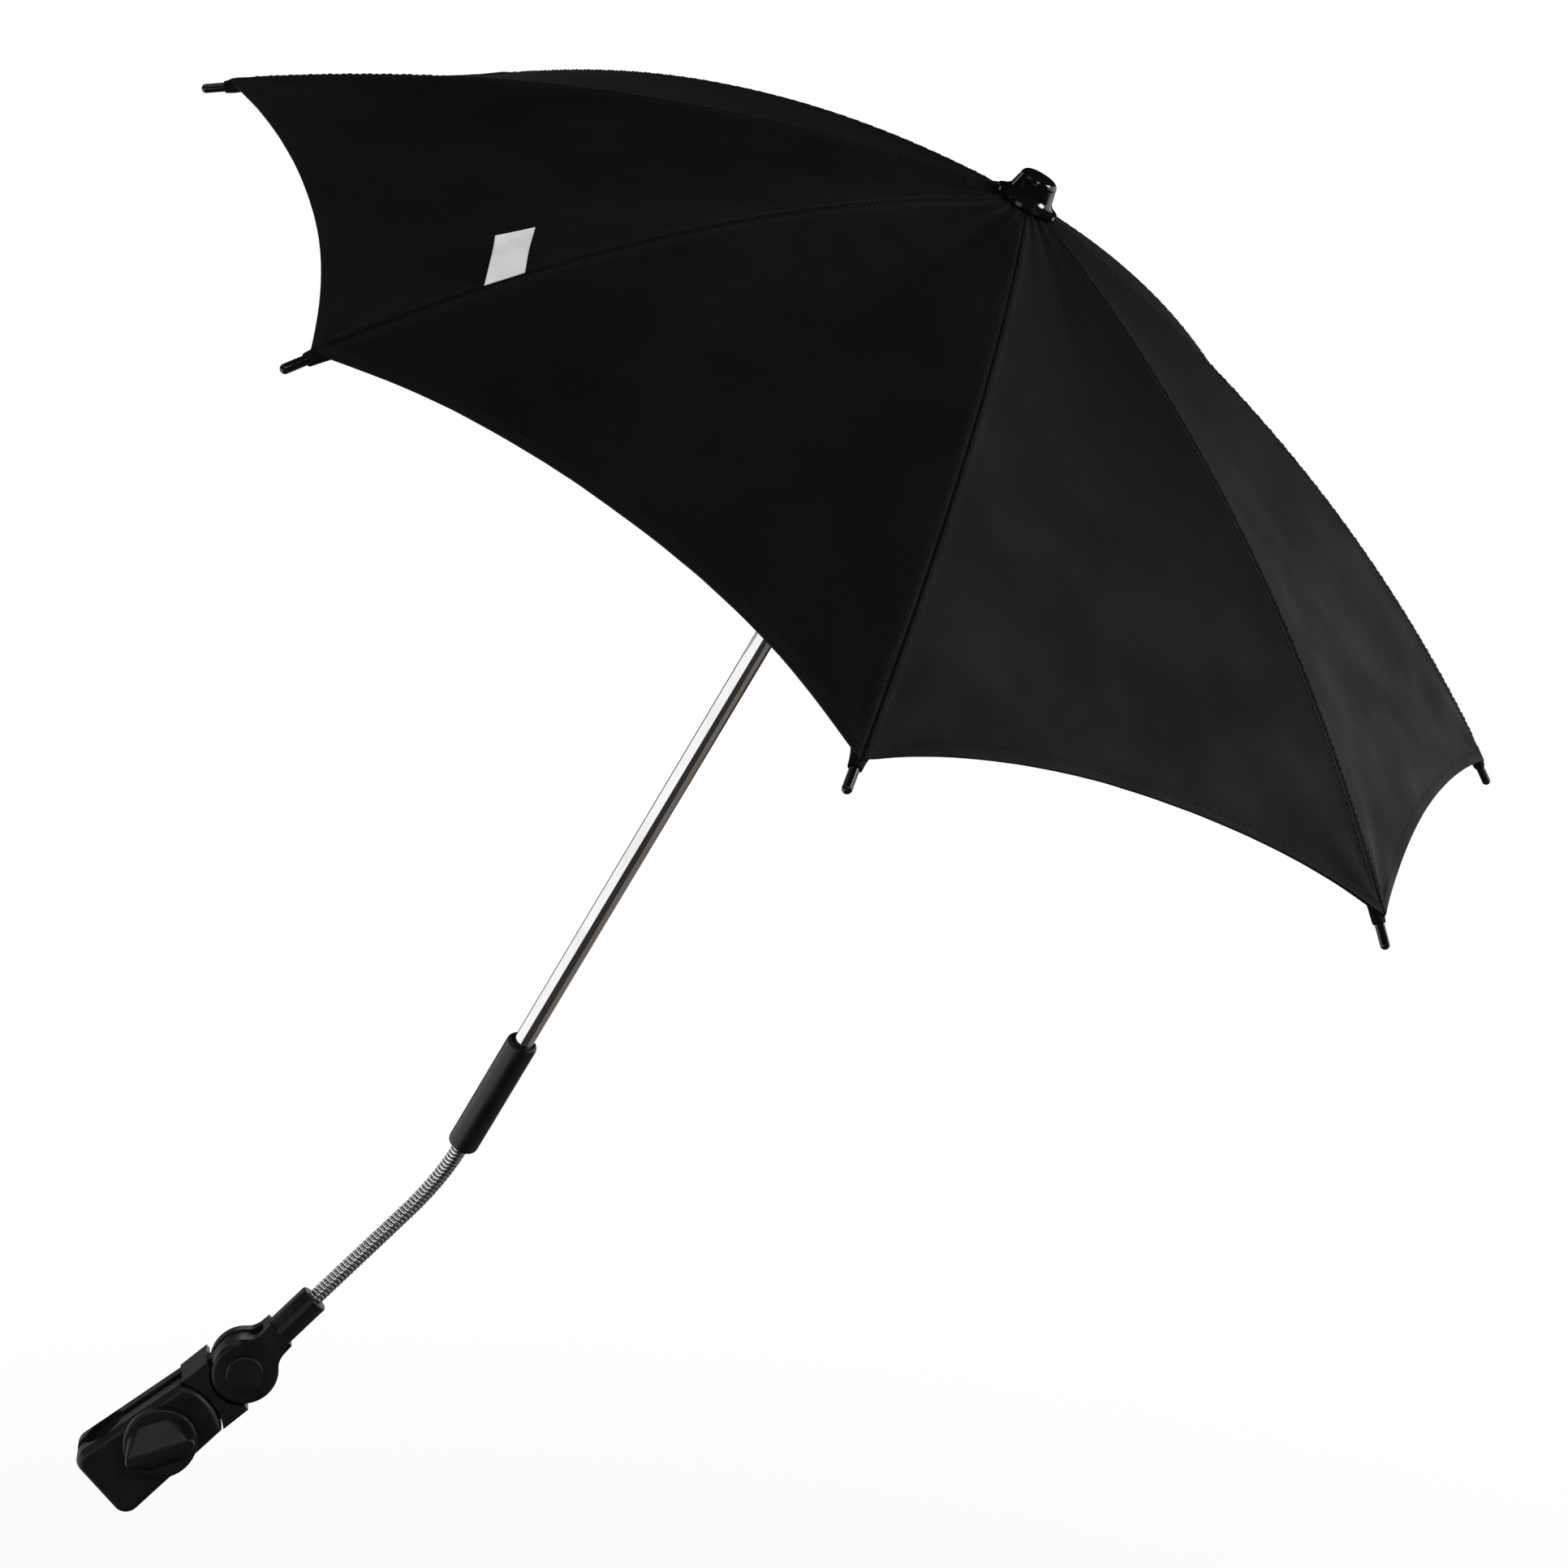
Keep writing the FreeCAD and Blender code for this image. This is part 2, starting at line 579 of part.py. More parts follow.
def pole_sleeve():
    sleeve = Part.makeCylinder(SLEEVE_R, SLEEVE_LENGTH, V(0, 0, sleeve_bottom))
    sleeve = sleeve.makeFillet(SLEEVE_EDGE_R, [e for e in sleeve.Edges if len(e.Vertexes) == 1])
    pole_end = V(0, 0, sleeve_top - SLEEVE_POLE_DEPTH)
    bore = Part.makeCylinder(POLE_R + SEAT_FIT, SLEEVE_POLE_DEPTH + OVERRUN, pole_end)
    below = V(0, 0, sleeve_bottom - OVERRUN)
    seat = Part.makeCylinder(NECK_R + SEAT_FIT, SLEEVE_NECK_DEPTH + OVERRUN, below)
    front = FreeCAD.Rotation(Z_AXIS, -RIB_PHASE - POLE_HEADING).multVec(-Y_AXIS)
    dimple_at = V(0, 0, sleeve_top - DIMPLE_AT) + front * (SLEEVE_R - DIMPLE_DEPTH)
    dimple = Part.makeCylinder(DIMPLE_R, OVERRUN, dimple_at, front)
    return sleeve.cut(bore).cut(seat).cut(dimple)


# Rib arc in its own radial plane: X outwards, Z up

chord = math.hypot(CANOPY_R - CROWN_R, CANOPY_DROP)
chord_slope = math.atan2(CANOPY_DROP, CANOPY_R - CROWN_R)
half_turn = math.radians(RIB_TURN) / 2
arc_r = chord / (2 * math.sin(half_turn))
slope_start = chord_slope - half_turn
slope_end = chord_slope + half_turn
arc_x = CROWN_R - arc_r * math.sin(slope_start)
arc_z = -arc_r * math.cos(slope_start)


def rib_point(slope, depth):
    """Point on the rib's arc where it slopes by so much, at a depth below the fabric's top."""
    r = arc_r - depth
    return V(arc_x + r * math.sin(slope), 0, arc_z + r * math.cos(slope))


def slope_at_radius(radius, depth):
    return math.asin((radius - arc_x) / (arc_r - depth))


rib_r = arc_r - RIB_DEPTH
hinge_slope = slope_at_radius(HINGE_R, RIB_DEPTH)
hinge_at = rib_point(hinge_slope, RIB_DEPTH)
pivot_slope = hinge_slope + 2 * math.asin(STRETCH / (2 * rib_r))
pivot_at = rib_point(pivot_slope, RIB_DEPTH)
runner_z = 2 * pivot_at.z - hinge_at.z
runner_at = V(HINGE_R, 0, runner_z)
tip_heading = V(math.cos(slope_end), 0, -math.sin(slope_end))


def rib():
    """Round steel rod bent to an arc, an eye at the crown, a hole and its rivet at the pivot."""
    start = rib_point(hinge_slope, RIB_DEPTH)
    inner_slope = hinge_slope + (EYE_R - RIB_R / 4) / rib_r
    a = rib_point(inner_slope, RIB_DEPTH)
    m = rib_point((inner_slope + slope_end) / 2, RIB_DEPTH)
    b = rib_point(slope_end, RIB_DEPTH)
    path = Part.Wire(Part.Arc(a, m, b).toShape())
    heading = V(math.cos(inner_slope), 0, -math.sin(inner_slope))
    section = Part.Wire(Part.Circle(a, heading, RIB_R).toShape())
    arc = path.makePipeShell([section], True, False)
    eye = Part.makeCylinder(EYE_R, EYE_T, start - V(0, EYE_T / 2, 0), Y_AXIS)
    end = rod(b, b + tip_heading * TIP_SOCKET, RIB_R)
    body = arc.fuse([eye, end]).removeSplitter()
    body = body.cut(Part.makeCylinder(WIRE_R + 2 * RUN_FIT, EYE_T + 2 * OVERRUN,
                                      start - V(0, EYE_T / 2 + OVERRUN, 0), Y_AXIS))
    half = RIB_R + FORK_GAP + FORK_T
    past = half + OVERRUN
    hole = Part.makeCylinder(RIVET_R + SEAT_FIT, 2 * past, pivot_at - V(0, past, 0), Y_AXIS)
    rivet = Part.makeCylinder(RIVET_R, 2 * half, pivot_at - V(0, half, 0), Y_AXIS)
    return Part.makeCompound([body.cut(hole), rivet])


def rib_tip():
    """Plastic end piece on the rib, round at its end."""
    base = rib_point(slope_end, RIB_DEPTH) + tip_heading * SKIN_GAP
    tip = cap_rod(TIP_R, TIP_LENGTH, base, tip_heading)
    return tip.cut(Part.makeCylinder(RIB_R + SEAT_FIT, TIP_SOCKET, base, tip_heading))


def stretcher():
    """Rod from the runner to the rib, an eye below and a fork round the rib above."""
    along = pivot_at - runner_at
    along.normalize()
    across = V(along.z, 0, -along.x)
    low = runner_at + along * (EYE_R - STRETCH_R / 4)
    high = pivot_at - along * (FORK_SLOT / 2)
    shaft = rod(low, high, STRETCH_R)
    eye = Part.makeCylinder(EYE_R, EYE_T, runner_at - V(0, EYE_T / 2, 0), Y_AXIS)
    inner = RIB_R + FORK_GAP
    outer = inner + FORK_T
    corners = [pivot_at - along * FORK_REACH + across * FORK_HALF_H, pivot_at + across * FORK_HALF_H,
               pivot_at + along * FORK_HALF_H, pivot_at - across * FORK_HALF_H,
               pivot_at - along * FORK_REACH - across * FORK_HALF_H]
    edges = [
        Part.LineSegment(corners[0], corners[1]).toShape(),
        Part.Arc(corners[1], corners[2], corners[3]).toShape(),
        Part.LineSegment(corners[3], corners[4]).toShape(),
        Part.LineSegment(corners[4], corners[0]).toShape(),
    ]
    fork = Part.Face(Part.Wire(edges)).extrude(V(0, 2 * outer, 0))
    fork.translate(V(0, -outer, 0))
    slot = Part.makeCylinder(FORK_SLOT, 2 * inner, pivot_at - V(0, inner, 0), Y_AXIS)
    body = shaft.fuse(eye).fuse(fork).cut(slot)
    body = body.cut(Part.makeCylinder(RIVET_R + RUN_FIT, 2 * (outer + OVERRUN),
                                      pivot_at - V(0, outer + OVERRUN, 0), Y_AXIS))
    return body.cut(Part.makeCylinder(WIRE_R + 2 * RUN_FIT, EYE_T + 2 * OVERRUN,
                                      runner_at - V(0, EYE_T / 2 + OVERRUN, 0), Y_AXIS))


def spoke_slots(bottom, top):
    """Radial slots for the eyes of ribs or stretchers, open from bottom to top."""
    slot = Part.makeBox(HUB_R + OVERRUN, SLOT_W, top - bottom, V(HUB_CORE_R, -SLOT_W / 2, bottom))
    return [slot.rotated(V(0, 0, 0), Z_AXIS, 360.0 * k / RIB_COUNT) for k in range(RIB_COUNT)]


def slotted_hub(outer, inner, bottom, top, wire_z, slots):
    hub = tube(outer, inner, bottom, top)
    hub = hub.cut(slots)
    return hub.cut(ring(HINGE_R, WIRE_R + SEAT_FIT, wire_z))


def crown_hub():
    top = -HUB_TOP
    bottom = top - HUB_T
    slots = spoke_slots(bottom - OVERRUN, top + OVERRUN)
    return slotted_hub(HUB_R, POLE_R + SEAT_FIT, bottom, top, hinge_at.z, slots)


def runner():
    """Sliding collar: slotted head, barrel below it, and the button's window."""
    top = runner_z + HUB_T / 2
    head_bottom = runner_z - HUB_T / 2
    bore = POLE_R + RUNNER_FIT
    slots = spoke_slots(head_bottom - OVERRUN, top + OVERRUN)
    head = slotted_hub(HUB_R, bore, head_bottom, top, runner_z, slots)
    barrel_bottom = top - RUNNER_LENGTH
    barrel = tube(RUNNER_BARREL_R, bore, barrel_bottom, head_bottom - SLOT_W)
    barrel = rounded(barrel, RUNNER_EDGE_R, lambda m, e: m.z < barrel_bottom + RUNNER_EDGE_R / 2
                     and math.hypot(m.x, m.y) > bore + RUNNER_EDGE_R / 2)
    collar = tube(HUB_CORE_R, bore, head_bottom - SLOT_W, head_bottom)
    whole = head.fuse([collar, barrel]).removeSplitter()
    window = button_block(SKIN_GAP, POLE_R, RUNNER_BARREL_R + OVERRUN)
    return whole.cut(window)


def button_block(extra, inner, outer):
    """Block on the button's line between two radii, larger all round by the extra."""
    half_w = BUTTON_WIDTH / 2 + extra
    half_h = BUTTON_HEIGHT / 2 + extra
    z = runner_z + HUB_T / 2 - BUTTON_DROP
    block = Part.makeBox(outer - inner, 2 * half_w, 2 * half_h, V(inner, -half_w, z - half_h))
    return block.rotated(V(0, 0, 0), Z_AXIS, HALF_STEP)


def runner_button():
    """Push button in the barrel's window, proud of the barrel and clear of the pole."""
    return button_block(0, POLE_R + BUTTON_SEAT, RUNNER_BARREL_R + BUTTON_PROUD)


def top_cap():
    """Hollow hat on the pole's end, flared below."""
    low = SKIN_GAP
    high = low + CAP_HEIGHT
    rim = low + CAP_RIM_T
    flare_mid = V((CAP_FLANGE_R + CAP_NECK_R) / 2 - CAP_RIM_T / 2, 0, rim + CAP_RIM_T)
    p = [V(CAP_FLANGE_R, 0, low), V(CAP_FLANGE_R, 0, rim), V(CAP_NECK_R, 0, rim + 2 * CAP_RIM_T),
         V(CAP_TOP_R, 0, high - CAP_TOP_ROUND), V(CAP_TOP_R - CAP_TOP_ROUND, 0, high), V(0, 0, high),
         V(0, 0, low)]
    bend = math.sqrt(0.5) * CAP_TOP_ROUND
    round_mid = V(CAP_TOP_R - CAP_TOP_ROUND + bend, 0, high - CAP_TOP_ROUND + bend)
    edges = [
        Part.LineSegment(p[0], p[1]).toShape(),
        Part.Arc(p[1], flare_mid, p[2]).toShape(),
        Part.LineSegment(p[2], p[3]).toShape(),
        Part.Arc(p[3], round_mid, p[4]).toShape(),
        Part.LineSegment(p[4], p[5]).toShape(),
        Part.LineSegment(p[5], p[6]).toShape(),
        Part.LineSegment(p[6], p[0]).toShape(),
    ]
    hat = Part.Face(Part.Wire(edges)).revolve(V(0, 0, 0), Z_AXIS, 360)
    hat = Part.Solid(hat) if hat.ShapeType == "Shell" else hat
    hollow = Part.makeCone(CAP_NECK_R - CAP_WALL, CAP_TOP_R - CAP_WALL, CAP_HEIGHT - CAP_WALL, V(0, 0, low))
    post = tube(POLE_R + CAP_WALL, POLE_R + SEAT_FIT, low, high - CAP_WALL)
    return hat.cut(hollow).fuse(post).removeSplitter()


# Canopy gores: each is the fabric on both sides of one rib, out to the panels' creases

fabric_start = slope_at_radius(FABRIC_START_R, 0)
hem_half = CANOPY_R * math.sin(math.radians(HALF_STEP))
hem_r = (hem_half ** 2 + HEM_CUT ** 2) / (2 * HEM_CUT)
crease_turn = math.radians(HALF_STEP)


def crease_point(slope, sag, side):
    """Point on the panel's middle line, a little short of the next gore."""
    p = rib_point(slope, 0)
    r = p.x * math.cos(crease_turn)
    edge = SKIN_GAP / 2
    out = V(math.cos(crease_turn), side * math.sin(crease_turn), 0)
    back = V(math.sin(crease_turn), -side * math.cos(crease_turn), 0)
    return out * r + back * edge + V(0, 0, p.z - sag)


def gore_half(side):
    middle = (fabric_start + slope_end) / 2
    ridge = Part.Arc(rib_point(fabric_start, 0), rib_point(middle, 0), rib_point(slope_end, 0)).toShape()
    crease = Part.Arc(crease_point(fabric_start, 0, side), crease_point(middle, CREASE_SAG, side),
                      crease_point(slope_end, 0, side)).toShape()
    cloth = Part.makeRuledSurface(ridge, crease)
    return cloth.extrude(V(0, 0, -FABRIC_T))


def hem_cutter(side):
    """Upright cylinder whose wall is the hollow hem between two corners."""
    reach = CANOPY_R * math.cos(crease_turn) - HEM_CUT + hem_r
    depth = CANOPY_DROP + CREASE_SAG + OVERRUN
    at = V(reach * math.cos(crease_turn), side * reach * math.sin(crease_turn), -depth)
    return Part.makeCylinder(hem_r, depth + OVERRUN, at)


def gore():
    whole = gore_half(1).fuse(gore_half(-1)).removeSplitter()
    return whole.cut([hem_cutter(1), hem_cutter(-1)])


def tag():
    """Blank cloth tag sewn into a seam, askew and a little off the panel before it."""
    slope = fabric_start + (slope_end - fabric_start) * TAG_SHARE
    root = rib_point(slope, 0)
    along = V(math.cos(slope), 0, -math.sin(slope))
    hem_share = (slope - fabric_start) / (slope_end - fabric_start)
    partner = crease_point(slope, 4 * CREASE_SAG * hem_share * (1 - hem_share), -1)
    over = partner - root
    over.normalize()
    lift = along.cross(over)
    lift.normalize()
    lift = lift if lift.z > 0 else lift * -1
    base = root + lift * SKIN_GAP - along * (TAG_WIDTH / 2) + over * SKIN_GAP
    raised = FreeCAD.Rotation(over.cross(lift), TAG_LIFT)
    skewed = FreeCAD.Rotation(raised.multVec(over).cross(-along), TAG_SKEW)
    side = skewed.multVec(raised.multVec(over))
    far = base + side * TAG_LENGTH
    points = [base, base + along * TAG_WIDTH, far + along * TAG_WIDTH, far]
    return Part.Face(Part.makePolygon(points + points[:1])).extrude(raised.multVec(lift) * TAG_T)


def spoke(shape, k):
    """Copy of a radial piece at one rib."""
    return shape.rotated(V(0, 0, 0), Z_AXIS, 360.0 * k / RIB_COUNT)


def main():
    os.makedirs("parts", exist_ok=True)
    here = FreeCAD.Placement()
    export(clamp_body(), "clamp_body", CLAMP)
    export(clamp_jaw(), "clamp_jaw", CLAMP)
    export(jaw_pad(1), "body_pad", CLAMP)
    export(jaw_pad(-1), "jaw_pad", CLAMP)
    export(clamp_screw(), "clamp_screw", CLAMP)
    export(guide_pins(), "guide_pins", CLAMP)
    export(clamp_knob(), "clamp_knob", CLAMP)
    export(clamp_spring(), "clamp_spring", CLAMP)
    export(socket_arm(), "socket_arm", ARM)
    export(swivel_bolt(), "swivel_bolt", ARM)
    export(button(1), "swivel_nut", ARM)
    export(neck_hose(), "neck_hose", here)
    export(neck_core(NECK_BORE_R - SKIN_GAP, -SKIN_GAP), "neck_core", here)
    export(pole(), "pole", POLE)
    export(pole_sleeve(), "pole_sleeve", POLE)
    export(crown_hub(), "crown_hub", POLE)
    export(ring(HINGE_R, WIRE_R, hinge_at.z), "crown_wire", POLE)
    export(top_cap(), "top_cap", POLE)
    export(runner(), "runner", POLE)
    export(ring(HINGE_R, WIRE_R, runner_z), "runner_wire", POLE)
    export(runner_button(), "runner_button", POLE)
    rib_shape, tip_shape, stretcher_shape, gore_shape = rib(), rib_tip(), stretcher(), gore()
    for k in range(RIB_COUNT):
        export(spoke(rib_shape, k), "rib_%d" % (k + 1), POLE)
        export(spoke(tip_shape, k), "rib_tip_%d" % (k + 1), POLE)
        export(spoke(stretcher_shape, k), "stretcher_%d" % (k + 1), POLE)
        export(spoke(gore_shape, k), "gore_%d" % (k + 1), POLE)
    export(spoke(tag(), TAG_RIB), "tag", POLE)


main()
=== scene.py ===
import json
import math

import bpy
import numpy as np
from mathutils import Matrix, Vector, noise


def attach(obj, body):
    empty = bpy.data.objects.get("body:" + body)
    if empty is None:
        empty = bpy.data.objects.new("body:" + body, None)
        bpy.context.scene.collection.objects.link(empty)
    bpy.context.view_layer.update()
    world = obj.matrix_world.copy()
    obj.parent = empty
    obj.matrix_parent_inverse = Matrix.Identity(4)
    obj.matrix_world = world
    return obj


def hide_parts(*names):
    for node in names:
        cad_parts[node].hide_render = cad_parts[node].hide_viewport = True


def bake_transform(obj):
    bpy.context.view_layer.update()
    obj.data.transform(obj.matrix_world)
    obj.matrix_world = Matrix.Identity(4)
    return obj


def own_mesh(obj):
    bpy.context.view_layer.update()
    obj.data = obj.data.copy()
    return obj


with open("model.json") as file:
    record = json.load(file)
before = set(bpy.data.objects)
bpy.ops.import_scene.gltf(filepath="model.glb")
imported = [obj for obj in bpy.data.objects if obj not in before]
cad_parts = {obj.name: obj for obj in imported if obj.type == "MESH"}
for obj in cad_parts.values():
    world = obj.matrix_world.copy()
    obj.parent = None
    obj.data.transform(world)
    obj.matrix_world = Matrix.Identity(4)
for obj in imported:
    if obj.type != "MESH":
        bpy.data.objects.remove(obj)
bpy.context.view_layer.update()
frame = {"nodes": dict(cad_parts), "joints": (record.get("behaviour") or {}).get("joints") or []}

nodes = frame["nodes"]
joints = {j["name"]: j for j in frame["joints"]}

# Sizes shared with the solids, in metres and degrees
RIB_COUNT = 8
CANOPY_R = 0.350
CANOPY_DROP = 0.1315
CROWN_R = 0.010
RIB_TURN = 25.0
RIB_DEPTH = 0.0034
HINGE_R = 0.010
FABRIC_START_R = 0.0128
CREASE_SAG = 0.007
HEM_CUT = 0.025
SKIN_GAP = 0.0003
TAG_RIB = 1
TAG_WIDTH = 0.019
TAG_LENGTH = 0.0295
TAG_SHARE = 0.76
TAG_SKEW = 22.0
TAG_LIFT = 20.0
CLAMP_PITCH = 38.48
ARM_PITCH = 43.92
ARM_LENGTH = 0.0546
NECK_STRAIGHT = 0.0716
NECK_ARC = 0.0523
NECK_R = 0.0046
NECK_GROOVE_R = 0.0038
NECK_ROD_R = 0.0023
NECK_RIBS = 48
SCREW_OFFSET = 0.022
SPRING_ROOM = 0.0075
SPRING_R = 0.0049
SPRING_WIRE_R = 0.00045
SPRING_TURNS = 4

# Cloth
CLOTH_T = 0.0006
HEM_T = 0.0012
HEM_BAND = 0.0062
HEM_STITCH = 0.0048
SEAM_STITCH = 0.0027
STITCH_PITCH = 0.0031
STITCH_LENGTH = 0.0023
THREAD_R = 0.00024
SEAM_COLUMNS = (0, 0.0005, 0.001, 0.0016, 0.0024, 0.0034, 0.005, 0.0075)
SEAM_ROOM = 0.018
HEM_ROWS = (0.0095, 0.0078, 0.0068, 0.0062, 0.0056, 0.005, 0.0044, 0.003, 0.0015, 0.0005, 0)
HEM_ROOM = 0.012
PANEL_COLUMNS = 20
PANEL_ROWS = 150

# Camera that saw the photograph: place, view direction and focal length in half frames
CAMERA_AT = (0.04819, -1.43875, 0.61946)
CAMERA_FORWARD = (0.21285, 0.96433, -0.15736)
CAMERA_UP = (0.0, 0.16106, 0.98695)
FOCAL_HALF_FRAMES = 3.3222
SENSOR_WIDTH = 36.0

HALF_STEP = math.pi / RIB_COUNT


# Canopy's own frame: top on the pole's axis, X along the first rib, Z up the pole

fold_names = ["fold"] + ["fold_%d" % k for k in range(2, RIB_COUNT + 1)]
hinges = [Vector(joints[n]["pos_m"]) for n in fold_names]
ring_centre = sum(hinges, Vector()) / RIB_COUNT
pole_x = (hinges[0] - ring_centre).normalized()
pole_z = pole_x.cross((hinges[2] - ring_centre).normalized()).normalized()
pole_y = pole_z.cross(pole_x)

chord = math.hypot(CANOPY_R - CROWN_R, CANOPY_DROP)
chord_slope = math.atan2(CANOPY_DROP, CANOPY_R - CROWN_R)
half_turn = math.radians(RIB_TURN) / 2
arc_r = chord / (2 * math.sin(half_turn))
slope_start = chord_slope - half_turn
slope_end = chord_slope + half_turn
arc_x = CROWN_R - arc_r * math.sin(slope_start)
arc_z = -arc_r * math.cos(slope_start)
hinge_slope = math.asin((HINGE_R - arc_x) / (arc_r - RIB_DEPTH))
hinge_z = arc_z + (arc_r - RIB_DEPTH) * math.cos(hinge_slope)
canopy_top = ring_centre - pole_z * hinge_z
fabric_start = math.asin((FABRIC_START_R - arc_x) / arc_r)
cloth_length = arc_r * (slope_end - fabric_start)
hem_half = CANOPY_R * math.sin(HALF_STEP)

canopy_frame = Matrix((
    (pole_x.x, pole_y.x, pole_z.x, canopy_top.x),
    (pole_x.y, pole_y.y, pole_z.y, canopy_top.y),
    (pole_x.z, pole_y.z, pole_z.z, canopy_top.z),
    (0, 0, 0, 1),
))


def spoke(k):
    """Matrix that takes a piece made on the first rib to a rib's own place."""
    return canopy_frame @ Matrix.Rotation(2 * HALF_STEP * k, 4, "Z")


# Shader helpers

def add(tree, kind, inputs=None, **settings):
    """New shader node with its settings, and its inputs set or linked by name."""
    made = tree.nodes.new("ShaderNode" + kind)
    for name, value in settings.items():
        setattr(made, name, value)
    for name, value in (inputs or {}).items():
        if isinstance(value, bpy.types.NodeSocket):
            tree.links.new(value, made.inputs[name])
        else:
            made.inputs[name].default_value = value
    return made


def ramp(tree, value, low, high, to_low=0.0, to_high=1.0):
    """Smooth change from one number to another as the value goes from low to high."""
    inputs = {"Value": value, "From Min": low, "From Max": high, "To Min": to_low, "To Max": to_high}
    return add(tree, "MapRange", inputs, interpolation_type="SMOOTHSTEP").outputs["Result"]


def maths(tree, operation, first, second):
    """Result of a calculation with two numbers or outputs."""
    return add(tree, "Math", {0: first, 1: second}, operation=operation).outputs[0]


def blended(tree, factor, first, second):
    """Colour between two colours."""
    made = add(tree, "Mix", {0: factor}, data_type="RGBA")
    for index, value in ((6, first), (7, second)):
        if isinstance(value, bpy.types.NodeSocket):
            tree.links.new(value, made.inputs[index])
        else:
            made.inputs[index].default_value = (*value, 1)
    return made.outputs[2]


def grain(tree, vector, scale, detail):
    """Noise from 0 to 1."""
    return add(tree, "TexNoise", {"Vector": vector, "Scale": scale, "Detail": detail}).outputs["Fac"]


def bump(tree, height, strength, distance):
    """Normal of a surface with fine relief."""
    inputs = {"Height": height, "Strength": strength, "Distance": distance}
    return add(tree, "Bump", inputs).outputs["Normal"]


def place_of(tree):
    """Place in the object's own frame."""
    return add(tree, "TexCoord").outputs["Object"]


def painted(tree, name):
    """Number that a mesh keeps for each of its points."""
    return add(tree, "Attribute", attribute_name=name).outputs["Fac"]


def threads_of(tree):
    """Place in the cloth, along and across its threads."""
    return add(tree, "UVMap", uv_map="threads").outputs["UV"]


def yarns(tree, vector, direction, scale):
    """Even waves across a direction, one for each yarn."""
    inputs = {"Vector": vector, "Scale": scale}
    return add(tree, "TexWave", inputs, bands_direction=direction).outputs["Fac"]


def socket_name(word):
    """Name of a shader's socket from a keyword."""
    return word.replace("_", " ").title().replace("Ior", "IOR")


def finish_of(name, **fixed):
    """New material, its tree and shader, with the numbers that are the same all over."""
    material = bpy.data.materials.new(name)
    material.use_nodes = True
    tree = material.node_tree
    shader = tree.nodes["Principled BSDF"]
    for word, value in fixed.items():
        shader.inputs[socket_name(word)].default_value = value
    return material, tree, shader


def connect(tree, shader, **outputs):
    """Links outputs to the shader's sockets that the keywords name."""
    for word, output in outputs.items():
        tree.links.new(output, shader.inputs[socket_name(word)])


# Materials

CLOTH_DARK = (0.0027, 0.0027, 0.0030)
CLOTH_PALE = (0.0040, 0.0040, 0.0044)
CLOTH_SLUB = (0.0066, 0.0067, 0.0072)
CLOTH_EDGE = (0.0105, 0.0107, 0.0117)
CLOTH_SEAM_SHADE = (0.0006, 0.0006, 0.0007)
CLOTH_HEM = (0.0085, 0.0087, 0.0095)
CLOTH_SHEEN = (0.82, 0.88, 1.0, 1)
CLOTH_SHINE = (0.85, 0.90, 1.0, 1)
YARN_SCALE = 520.0
THREAD_DARK = (0.005, 0.005, 0.0055)
THREAD_PALE = (0.012, 0.012, 0.013)
SATIN_DARK = (0.86, 0.86, 0.87)
SATIN_PALE = (0.93, 0.93, 0.935)
SATIN_EDGE = (0.62, 0.63, 0.66)
NYLON_DARK = (0.0055, 0.0055, 0.0060)
NYLON_PALE = (0.0090, 0.0090, 0.0098)
NYLON_RUBBED = (0.045, 0.045, 0.047)
NYLON_EDGE_R = 0.0008
GLOSS_DARK = (0.0035, 0.0035, 0.0040)
GLOSS_PALE = (0.0075, 0.0075, 0.0080)
CHROME_BRIGHT = (0.93, 0.93, 0.935)
CHROME_DULL = (0.84, 0.83, 0.82)
NECK_BRIGHT = (0.94, 0.94, 0.94)
NECK_DULL = (0.82, 0.81, 0.80)
NECK_GROOVE_SHADE = (0.040, 0.038, 0.037)
ZINC_DARK = (0.36, 0.37, 0.38)
ZINC_PALE = (0.56, 0.56, 0.57)
RUBBER_DARK = (0.010, 0.010, 0.010)
RUBBER_DUSTY = (0.024, 0.024, 0.023)


